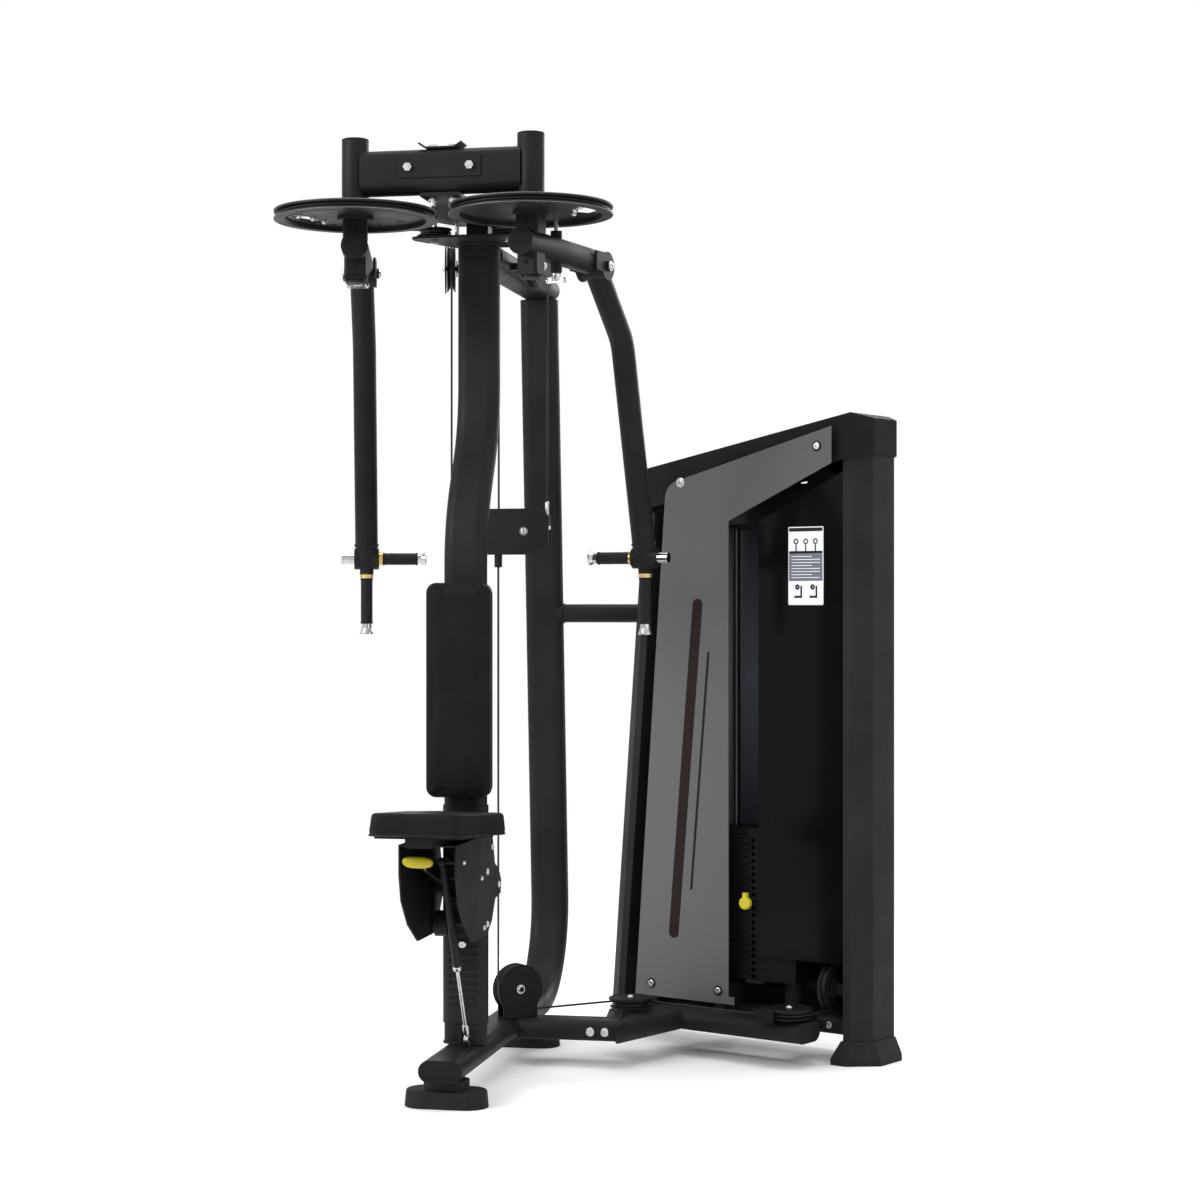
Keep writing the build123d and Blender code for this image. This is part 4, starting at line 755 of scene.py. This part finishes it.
def grips(side, tag):
    """Sleeves of the level and the upright grip, each with a brass collar at its root."""
    body = tag + "_hanger"
    runs = {
        "level": (wrist(side, -40, 0), wrist(side, -126, 0)),
        "upright": (wrist(side, 0, -48), wrist(side, 0, -160)),
    }
    for name, (start, stop) in runs.items():
        sleeve = grip_sleeve(f"{tag}_{name}_grip", start, stop, body)
        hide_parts(tag + "_grips")
    inner, edge, ring, neck = 11, 16.9, 17.5, 16.7
    collar = [(inner, 0), (edge, 0), (ring, 0.8), (ring, 3.2), (neck, 4.2)]
    collar += [(neck, 5.0), (ring, 6), (ring, 8.4), (edge, 9.2), (inner, 9.2)]
    lathe(tag + "_brass_level", wrist(side, -30.4, 0), arm_way(side, -1, 0), collar, BRASS, body)
    lathe(tag + "_brass_upright", wrist(side, 0, -38.2), -UP, collar, BRASS, body)


def hanger_joints(side, tag):
    """Bolts through the hinge ears, and the bead where the bent tube meets the hub."""
    hinge = Vector(JOINTS[tag + "_hanger_tilt"]["pos_m"])
    for way in (-1, 1):
        out = arm_way(side, 1, 0) * way
        screw_head(f"{tag}_hinge_bolt_{way + 1}", hinge + out * 41 * MM, out, 8.5, 4, ZINC, tag + "_arm")
    tube_way = on_arm(side, 0, ELBOW_V, ELBOW_Z) - wrist(side, 0, 0)
    bead = ring_route(on_arm(side, 0, WRIST_V - 9, WRIST_Z + 34), tube_way, 28.4)
    weld(tag + "_wrist_weld", dense(bead), tag + "_hanger", 2.0)


def arm_nose(side, tag):
    """End plug of the level tube, and the clamp screws of the blocks on its shaft."""
    body = tag + "_arm"
    forward = arm_way(side, 0, -1)
    plug = [(27.6, -0.4), (27.6, 0.6), (26, 1.5), (18, 2.2), (0, 2.4)]
    lathe(tag + "_arm_plug", on_arm(side, 0, ARM_NOSE_V, ARM_Z), forward, plug, CAP_BLACK, body)
    for v, z in ((-27, 1948), (-24, 1862)):
        screw_head(f"{tag}_clamp_screw_{z}", on_arm(side, 0, v, z), forward, 4, 2.2, COVER_BLACK, body)


def pop_pin(side, tag):
    """Chrome barrel and handle knobs of the start position pin."""
    body = tag + "_pop_pin"
    barrel = [(8, 0), (11.5, 0), (12, 1.5), (12, 15), (10.5, 17), (8, 17.5)]
    lathe(tag + "_pin_barrel", on_arm(side, 0, POP_PIN_V, 1839), UP, barrel, CHROME, body)
    knob = [(4, -3), (5.6, -2), (6.4, 0), (6.2, 3), (4.4, 5.2), (0, 6)]
    for way in (-1, 1):
        at = on_arm(side, way * 20, POP_PIN_V, 1840)
        lathe(f"{tag}_pin_knob_{way + 1}", at, arm_way(side, 1, 0) * way, knob, CHROME, body)


# ---------------------------------------------------------------- cables

CABLE_RADIUS = 2.6
RISER_SPLIT = 1180 * MM
MIDDLE_DROP = (535, 1911.5)
YOKE_FACES = ((518, -1, "front"), (552, 1, "rear"))


def upright_cable(name, x, y, low, high, material, body, radius=CABLE_RADIUS):
    route = [Vector((x, y, z)) for z in np.linspace(low, high, 40)]
    made = sweep(name, route, radius, material, body)
    return made


def riser():
    """Main cable: a still length below, and one that rides up with the yoke."""
    low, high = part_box("riser_cable")
    x, y = (low.x + high.x) / 2, (low.y + high.y) / 2
    still = upright_cable("riser_lower", x, y, low.z, RISER_SPLIT, CABLE_GREY, "root")
    bottom, wider = RISER_SPLIT - LIFT, 2.75
    moving = upright_cable("riser_upper", x, y, bottom, high.z, CABLE_GREY, "cable_yoke", wider)
    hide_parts("riser_cable")
    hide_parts("riser_cable")
    sleeve = [(3, 0), (7.5, 0), (9.4, 2), (9.4, 30), (8, 33), (3, 34)]
    lathe("riser_sleeve", Vector((x, y, 1205 * MM)), UP, sleeve, RUBBER, "cable_yoke")


def drops():
    """Cables from the yoke up to the pulleys, and their end fittings."""
    low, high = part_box("drop_cables")
    side_y = design(0, DROP_Y, 0).y
    middle = design(0, *MIDDLE_DROP)
    inset, side_bottom = CABLE_RADIUS * MM, YOKE_HIGH - 16 * MM
    spots = (
        ("left", low.x + inset, side_y, side_bottom, high.z),
        ("right", high.x - inset, side_y, side_bottom, high.z),
        ("middle", middle.x, middle.y, low.z, middle.z),
    )
    ferrule = [(2.8, 0), (4.6, 0), (5.0, 2), (5.0, 30), (4.2, 33), (2.9, 35)]
    for tag, x, y, bottom, top in spots:
        made = upright_cable(tag + "_drop_cable", x, y, bottom, top, CABLE, "root")
        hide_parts("drop_cables")
        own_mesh(made)
        lathe(tag + "_drop_ferrule", Vector((x, y, bottom - 2 * MM)), UP, ferrule, ZINC, "cable_yoke")


def yoke_detail():
    """Bright through bolts, cable-end nuts and studs of the yoke."""
    bolt_x, bolt_z, nut_z, stud_z = 66, 1292, 1295.8, 1255
    nut = [(2.8, 0), (8.4, 0), (9, 1), (9, 8), (8.4, 9), (2.8, 9)]
    stud = [(0.5, 0), (4, 0), (4.6, 1), (4.6, 50), (0.5, 50)]
    for side, tag in TAGS.items():
        for face, way, end in YOKE_FACES:
            at = design(side * bolt_x, face, bolt_z)
            screw_head(f"yoke_bolt_{tag}_{end}", at, (0, way, 0), 7.5, 5, ZINC, "cable_yoke")
        x = side * DROP_X
        lathe(tag + "_yoke_nut", design(x, DROP_Y, nut_z), UP, nut, ZINC, "cable_yoke", 6)
        lathe(tag + "_yoke_stud", design(x, DROP_Y, stud_z), UP, stud, ZINC, "cable_yoke")


def hoist():
    """The cable over the weight stack, with a mesh of its own."""
    low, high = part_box("stack_cable")
    middle = (low + high) / 2
    made = upright_cable("stack_hoist_cable", middle.x, middle.y, low.z, high.z, CABLE, "root")
    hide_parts("stack_cable")
    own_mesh(made)


# ---------------------------------------------------------------- seat and pad


def applied(obj):
    """Bake the modifiers of an object into its mesh."""
    graph = bpy.context.evaluated_depsgraph_get()
    mesh = bpy.data.meshes.new_from_object(obj.evaluated_get(graph))
    obj.modifiers.clear()
    obj.data = mesh


def coordinates(obj):
    return np.array([v.co for v in obj.data.vertices], float).reshape(-1, 3)


def remeshed(node, name, inset, voxel):
    """A fresh, slightly smaller, evenly meshed copy of a CAD soft solid."""
    made = placed(name, NODES[node].data.copy())
    remesh = made.modifiers.new("remesh", "REMESH")
    remesh.mode = "VOXEL"
    remesh.voxel_size = voxel
    applied(made)
    normals = np.array([v.normal for v in made.data.vertices], float)
    co = coordinates(made) - normals * inset
    made.data.vertices.foreach_set("co", co.ravel())
    made.data.update()
    return made


def inflate(obj, held, pressure, cap):
    """Run a short cloth simulation with pressure inside, and keep at most cap of its move."""
    before = coordinates(obj)
    group = obj.vertex_groups.new(name="held")
    group.add([int(i) for i in np.nonzero(held)[0]], 1.0, "REPLACE")
    cloth = obj.modifiers.new("cloth", "CLOTH")
    settings = cloth.settings
    settings.use_pressure = True
    settings.uniform_pressure_force = pressure
    settings.effector_weights.gravity = 0
    settings.tension_stiffness = 12
    settings.compression_stiffness = 12
    settings.shear_stiffness = 6
    settings.bending_stiffness = 0.8
    settings.quality = 6
    settings.vertex_group_mass = "held"
    cloth.collision_settings.use_collision = False
    for step in range(1, 21):
        bpy.context.scene.frame_set(step)
    applied(obj)
    bpy.context.scene.frame_set(1)
    moved = coordinates(obj) - before
    far = np.linalg.norm(moved, axis=1)
    scale = np.where(far > cap, cap / np.maximum(far, 1e-9), 1.0)
    obj.data.vertices.foreach_set("co", (before + moved * scale[:, None]).ravel())
    obj.data.update()
    obj.vertex_groups.clear()


def plumped(obj, held, cap):
    """Blow the skin up from inside; vertices in held stay, and none moves past cap."""
    inflate(obj, held, 2.0, cap)
    subdivide = obj.modifiers.new("subdivide", "SUBSURF")
    subdivide.levels = 1
    subdivide.render_levels = 1
    applied(obj)
    obj.data.shade_smooth()


def grooved(obj, distance, depth, width):
    """Pull the skin in by depth along a seam; distance gives each point's way to it."""
    co = coordinates(obj)
    normals = np.array([v.normal for v in obj.data.vertices], float)
    pull = depth * np.exp(-((distance / width) ** 2))
    obj.data.vertices.foreach_set("co", (co - normals * pull[:, None]).ravel())
    obj.data.update()


def upholstered(obj, body, node):
    """Hand a finished cushion over to the frame, in vinyl."""
    obj.data.materials.clear()
    obj.data.materials.append(VINYL)
    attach(obj, body)
    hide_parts(node)


SEAT_TILT = math.radians(4)
SEAT_LOW_Z = 604
SEAT_FRONT, SEAT_BACK = -245, 116
SEAT_HALF_FRONT, SEAT_HALF_BACK = 104, 124
SEAT_CORNER = 7
SEAT_TAPER = 0.123
FAR_AWAY = 1e3


def seat_point(x, y, up):
    """A point of the cushion: across, along its tilted base, and up from it, in mm."""
    c, s = math.cos(SEAT_TILT), math.sin(SEAT_TILT)
    return design(x, y * c + up * s, SEAT_LOW_Z - y * s + up * c)


def seat_local(obj):
    """Each vertex in the cushion's own directions, in mm: across, along and up."""
    c, s = math.cos(SEAT_TILT), math.sin(SEAT_TILT)
    origin = design(0, 0, SEAT_LOW_Z)
    co = coordinates(obj)
    y, z = co[:, 1] - origin.y, co[:, 2] - origin.z
    return (co[:, 0] - origin.x) / MM, (y * c - z * s) / MM, (y * s + z * c) / MM


def seat_seams(cushion):
    """A seam down each corner of the side wall, and one round it near the base."""
    x, y, up = seat_local(cushion)
    lean = SEAT_CORNER + SEAT_TAPER * up
    nearest = np.full(len(x), FAR_AWAY)
    ends = ((SEAT_FRONT, SEAT_HALF_FRONT, 1), (SEAT_BACK, SEAT_HALF_BACK, -1))
    for side in TAGS:
        for end, half, inwards in ends:
            across_gap, along_gap = x - side * (half - lean), y - (end + lean * inwards)
            nearest = np.minimum(nearest, np.hypot(across_gap, along_gap))
    side_wall = (up > 6) & (up < 46)
    corner = np.where(side_wall, np.maximum(nearest - 3.0, 0), FAR_AWAY)
    grooved(cushion, corner * MM, 1.3 * MM, 2.6 * MM)
    base_seam = 8.5
    up = seat_local(cushion)[2]
    grooved(cushion, np.abs(up - base_seam) * MM, 1.6 * MM, 2.2 * MM)


def seat():
    cushion = remeshed("seat_cushion", "seat_upholstery", 1.0 * MM, 5 * MM)
    x, y, up = seat_local(cushion)
    rim = 24
    near_end = (y < SEAT_FRONT + rim) | (y > SEAT_BACK - rim)
    held = (up < 49) | (np.abs(x) > 84) | near_end
    plumped(cushion, held, 2.6 * MM)
    seat_seams(cushion)
    upholstered(cushion, "seat", "seat_cushion")
    base = rounded(190, 330, 20, (0, -64))
    flat_shape("seat_base_board", base, lambda a, b, d: seat_point(a, b, 2.5 - d), 6, CAP_BLACK, "seat")


def back_rest():
    pad = remeshed("back_pad", "back_upholstery", 0.8 * MM, 4.5 * MM)
    low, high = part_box("back_pad")
    seam_y = low.y + 13 * MM
    held = coordinates(pad)[:, 1] > low.y + 4 * MM
    plumped(pad, held, 2.4 * MM)
    grooved(pad, np.abs(coordinates(pad)[:, 1] - seam_y), 1.4 * MM, 2.0 * MM)
    upholstered(pad, "root", "back_pad")
    centre = (low + high) / 2
    inset = 3.4
    width, height = (high.x - low.x) / MM - inset, (high.z - low.z) / MM - inset
    outline = rounded(width, height, 21, steps=10)
    route = [Vector((centre.x + a * MM, seam_y, centre.z + b * MM)) for a, b in outline]
    welt = sweep("back_welt", dense(route, 4), 2.1, VINYL, "root", True, 10)


PLATE_FACE_X = 65
CARRIAGE_SCREWS = {
    "upper_roller": (150, 509, 6.5),
    "lower_roller": (150, 390, 6.5),
    "rear_roller": (262, 468, 6.5),
    "lever_pivot": (95, 500, 5),
    "spring_pin": (-67, 552, 5),
    "plate_top": (196, 560, 5),
    "plate_low": (118, 386, 5),
}


def carriage_screws():
    """Bright screw heads on both side plates, over the pins and the rollers' axles."""
    for name, (y, z, size) in CARRIAGE_SCREWS.items():
        for side, tag in TAGS.items():
            at = design(side * PLATE_FACE_X, y, z)
            screw_head(f"{name}_{tag}", at, (side, 0, 0), size, 4, ZINC, "seat")


def gas_spring_detail():
    """Chrome gland at the cylinder's mouth, and the fitting at the rod's lower end."""
    top = Vector(JOINTS["gas_cylinder_turn"]["pos_m"])
    way = Vector(JOINTS["gas_rod_slide"]["axis"]).normalized()
    mouth, rod_end = 274, 436
    gland = [(9.1, 0), (9.6, 0.5), (9.6, 9), (8.4, 11), (5, 12), (4.2, 12)]
    lathe("gas_gland", top + way * mouth * MM, way, gland, CHROME, "gas_cylinder")
    eye = [(4.3, 0), (6.4, 0.5), (6.8, 3), (6.8, 22), (5.6, 26), (4.3, 27)]
    lathe("gas_rod_end", top + way * rod_end * MM, way, eye, ZINC, "gas_rod")


# ---------------------------------------------------------------- coloured copies

PADDLE = (-23, -123, 556)
PADDLE_BACK_Y = -106
KNOB_BACK = 981


def release_lever():
    """The lever with a yellow end, thinned there so that the moulded paddle covers it."""
    back = design(0, PADDLE_BACK_Y, 0).y
    core = design(*PADDLE)
    name, body = "seat_release_lever", "seat_lever"
    lever = copy_of("seat_lever", name, body, lambda c: SHADED_LEVER_PLASTIC if c.y < back else BLACK)
    for vertex in lever.data.vertices:
        if vertex.co.y < back:
            vertex.co.z = core.z + (vertex.co.z - core.z) * 0.6
            vertex.co.x = core.x + (vertex.co.x - core.x) * 0.8


def pin_knob():
    """The selector pin with a yellow knob and a bright shank."""
    back = tower(0, KNOB_BACK, 0).dot(DEPTH)
    name, body = "selector_pin_knob", "selector_pin"
    pin = copy_of("selector_pin", name, body, lambda c: YELLOW if c.dot(DEPTH) < back else CHROME)


def superellipse(value, power):
    return math.copysign(abs(value) ** power, value)


def paddle_grip():
    """Yellow paddle moulded over the end of the lever: full in the middle, lens-shaped."""
    x, y, z = PADDLE
    columns, rows = 24, 20
    half_width, half_depth, half_height = 35, 13.2, 12.5
    left_rise, right_rise = 2.5, -1.0
    points, faces = [], []
    for i in range(columns + 1):
        t = -1 + 2 * i / columns
        taper = (1 - abs(t) ** 3) ** 0.5 if abs(t) < 1 else 0.02
        rise = t * t * (left_rise if t < 0 else right_rise)
        for k in range(rows):
            a = 2 * math.pi * k / rows
            dy = superellipse(math.cos(a), 0.65) * half_depth * taper
            dz = superellipse(math.sin(a), 0.75) * half_height * taper
            points.append(design(x + t * half_width, y + dy, z + dz + rise))
    for i in range(columns):
        for k in range(rows):
            a, b = i * rows + k, i * rows + (k + 1) % rows
            faces.append((a, a + rows, b + rows, b))
    faces.append(tuple(range(rows)))
    faces.append(tuple(reversed(range(columns * rows, (columns + 1) * rows))))
    made = piece("lever_paddle_grip", points, faces, SHADED_LEVER_PLASTIC, "seat_lever")


# ---------------------------------------------------------------- tower detail

PANEL_FACE = 953
PANEL_BOLTS = {"corner": (-36, 1424), "upper": (371, 1500), "left": (-127, 149), "right": (80, 149)}


def on_panel(a, b, depth):
    return tower(a, PANEL_FACE - 0.15 - depth, b)


def panel_fixings():
    """Dark cup washers round the panel's bolts, and a bright one at its rounded corner."""
    cup = [(9.2, 0), (12.5, 0), (12.5, 1.2), (11.6, 2.2), (9.6, 2.2), (9.2, 1.6)]
    for name, (along, z) in PANEL_BOLTS.items():
        material = ZINC if name == "corner" else COVER_BLACK
        lathe(f"panel_cup_{name}", on_panel(along, z, 0), -DEPTH, cup, material, "root")


def foot_shade_board():
    """Dark board closing the foot of the tower under the rear shroud: painted shade, a dark sheet standing
    in for the shade there.
    """
    left, right, low, high = -200, 426, 66, 141
    front, thickness = 1142.6, 4
    outline = [(left, low), (right, low), (right, high), (left, high)]

    def at(a, b, depth):
        return tower(a, front - depth, b)

    flat_shape("tower_foot_shade_board", outline, at, thickness, COVER_BLACK, "root")


def panel_stripe():
    """A plain long inlay and a thin line beside it, following the panel's lean."""
    low, high = (-58, 270), (18, 1130)
    dx, dz = high[0] - low[0], high[1] - low[1]
    far = math.hypot(dx, dz)
    ux, uz = dx / far, dz / far
    for name, shift, width, cut in (("panel_inlay", 0, 30, 0), ("panel_pinstripe", 44, 7, 260)):
        outline = []
        for a, b in rounded(width, far - cut, width / 2 - 0.1, (shift, far / 2), 10):
            outline.append((low[0] + ux * b + uz * a, low[1] + uz * b - ux * a))
        flat_shape(name, outline, on_panel, 0.35, STRIPE_PRINT, "root")


CARD = (270, 371, 1114, 1306)
CARD_BACK = 984 - 0.3
CARD_THICKNESS = 1.65


def on_card(a, b, depth):
    """A point off the card's back face: from its upright middle line, up, and forward."""
    left, right = CARD[:2]
    return tower((left + right) / 2 + a, CARD_BACK - depth, b)


def mark(name, width, height, a, b, material, depth=0.12):
    """A thin printed block on the card, with its middle at (a, b)."""
    outline = rounded(width, height, 0.8, (a, b), 3)
    flat_shape(name, outline, lambda p, q, d: on_card(p, q, CARD_THICKNESS + d), depth, material, "root")


def ring_mark(name, a, b, radius, line, count):
    route = ring_route(on_card(a, b, CARD_THICKNESS + 0.2), DEPTH, radius, count)
    sweep(name, route, line, DARK_PRINT, "root", True, 6)


def placard():
    """A blank instruction card: plain blocks, lines and simple rings, with no words."""
    left, right, low, high = CARD
    width = right - left
    card = rounded(width, high - low, 3, (0, (low + high) / 2))
    flat_shape("placard_card", card, on_card, 1.6, WHITE_PRINT, "root")
    mark("placard_header", width - 4, 9, 0, high - 7, DARK_PRINT)
    mark("placard_band", width - 4, 7, 0, low + 129, DARK_PRINT)
    mark("placard_field", width - 4, 66, 0, low + 92, GREY_PRINT)
    full = width - 18
    for row in range(8):
        line = full * (1.0 if row % 3 else 0.72)
        z = low + 119 - row * 7.4
        mark(f"placard_line_{row}", line, 1.7, -(full - line) / 2, z, WHITE_PRINT, 0.24)
    for column in range(3):
        a = (column - 1) * 28
        ring_mark(f"placard_ring_{column}", a, high - 36, 5.5, 1.5, 28)
        mark(f"placard_bar_{column}", 3.6, 17, a, high - 52, DARK_PRINT)
    for column in range(2):
        a = (column - 0.5) * 44
        mark(f"placard_seat_{column}", 22, 5.5, a, low + 20, DARK_PRINT)
        mark(f"placard_post_{column}", 5.0, 30, a + 9, low + 32, DARK_PRINT)
        ring_mark(f"placard_dot_{column}", a - 2, low + 44, 4.2, 2.4, 24)


PLATES, RESTING = 21, 11
PLATE_PITCH = 17
FIRST_PLATE_Z = 184.3


def stack_labels():
    """Small plain plate tags beside the pin holes."""
    tag_x, hole_shift, front = 118, 10, 1006

    def at(a, b, depth):
        return tower(a + hole_shift, front - 0.1 - depth, b)

    for i in range(PLATES):
        body = "root" if i < RESTING else "lifted_stack"
        tag = rounded(15, 8, 1.2, (tag_x, FIRST_PLATE_Z + PLATE_PITCH * i), 3)
        flat_shape(f"plate_tag_{i}", tag, at, 0.4, DARK_PRINT, body)


# ---------------------------------------------------------------- studio


def floor():
    size = 60
    mesh = bpy.data.meshes.new("studio_floor")
    corners = [(-size, -size, 0), (size, -size, 0), (size, size, 0), (-size, size, 0)]
    mesh.from_pydata(corners, [], [(0, 1, 2, 3)])
    mesh.materials.append(studio_floor())
    made = placed("studio_floor", mesh)
    made.location.z = -0.0005


def soft_light(name, at, aim, size, power):
    data = bpy.data.lights.new(name, "AREA")
    data.shape = "RECTANGLE"
    data.size, data.size_y = size
    data.energy = power
    made = placed(name, data)
    made.location = at
    made.rotation_euler = (Vector(aim) - Vector(at)).to_track_quat("-Z", "Y").to_euler()


def studio():
    world = bpy.data.worlds.new("studio")
    bpy.context.scene.world = world
    world.use_nodes = True
    background = world.node_tree.nodes["Background"]
    background.inputs["Color"].default_value = (1.0, 1.0, 1.0, 1)
    background.inputs["Strength"].default_value = 1.0
    centre = (0, 0, 1.1)
    soft_light("key_left", (-3.4, -3.2, 3.4), centre, (2.4, 2.4), 150)
    soft_light("fill_right", (3.6, -2.6, 2.2), centre, (2.0, 2.6), 16)
    soft_light("top", (0.3, 0.4, 4.6), (0, 0, 0), (3.2, 3.2), 110)
    soft_light("rear_rim", (1.6, 4.0, 2.8), centre, (2.4, 2.0), 60)
    bpy.context.scene.view_settings.view_transform = "Standard"


def camera():
    data = bpy.data.cameras.new("camera")
    data.lens = 72
    data.sensor_width = 36
    data.shift_y = 0.00833
    made = placed("camera", data)
    made.location = (1.08078, -5.59787, 1.1017)
    made.rotation_euler = (math.radians(90), 0, math.radians(11))
    bpy.context.scene.camera = made


# ---------------------------------------------------------------- build

camera()
studio()
floor()
dress_nodes()
frame_welds()
pulley_bolts()
cover_rims()
for arm_side, arm_tag in TAGS.items():
    cam_detail(arm_side, arm_tag)
    grips(arm_side, arm_tag)
    hanger_joints(arm_side, arm_tag)
    arm_nose(arm_side, arm_tag)
    pop_pin(arm_side, arm_tag)
riser()
drops()
yoke_detail()
hoist()
release_lever()
pin_knob()
paddle_grip()
carriage_screws()
gas_spring_detail()
panel_fixings()
foot_shade_board()
panel_stripe()
placard()
stack_labels()
seat()
back_rest()
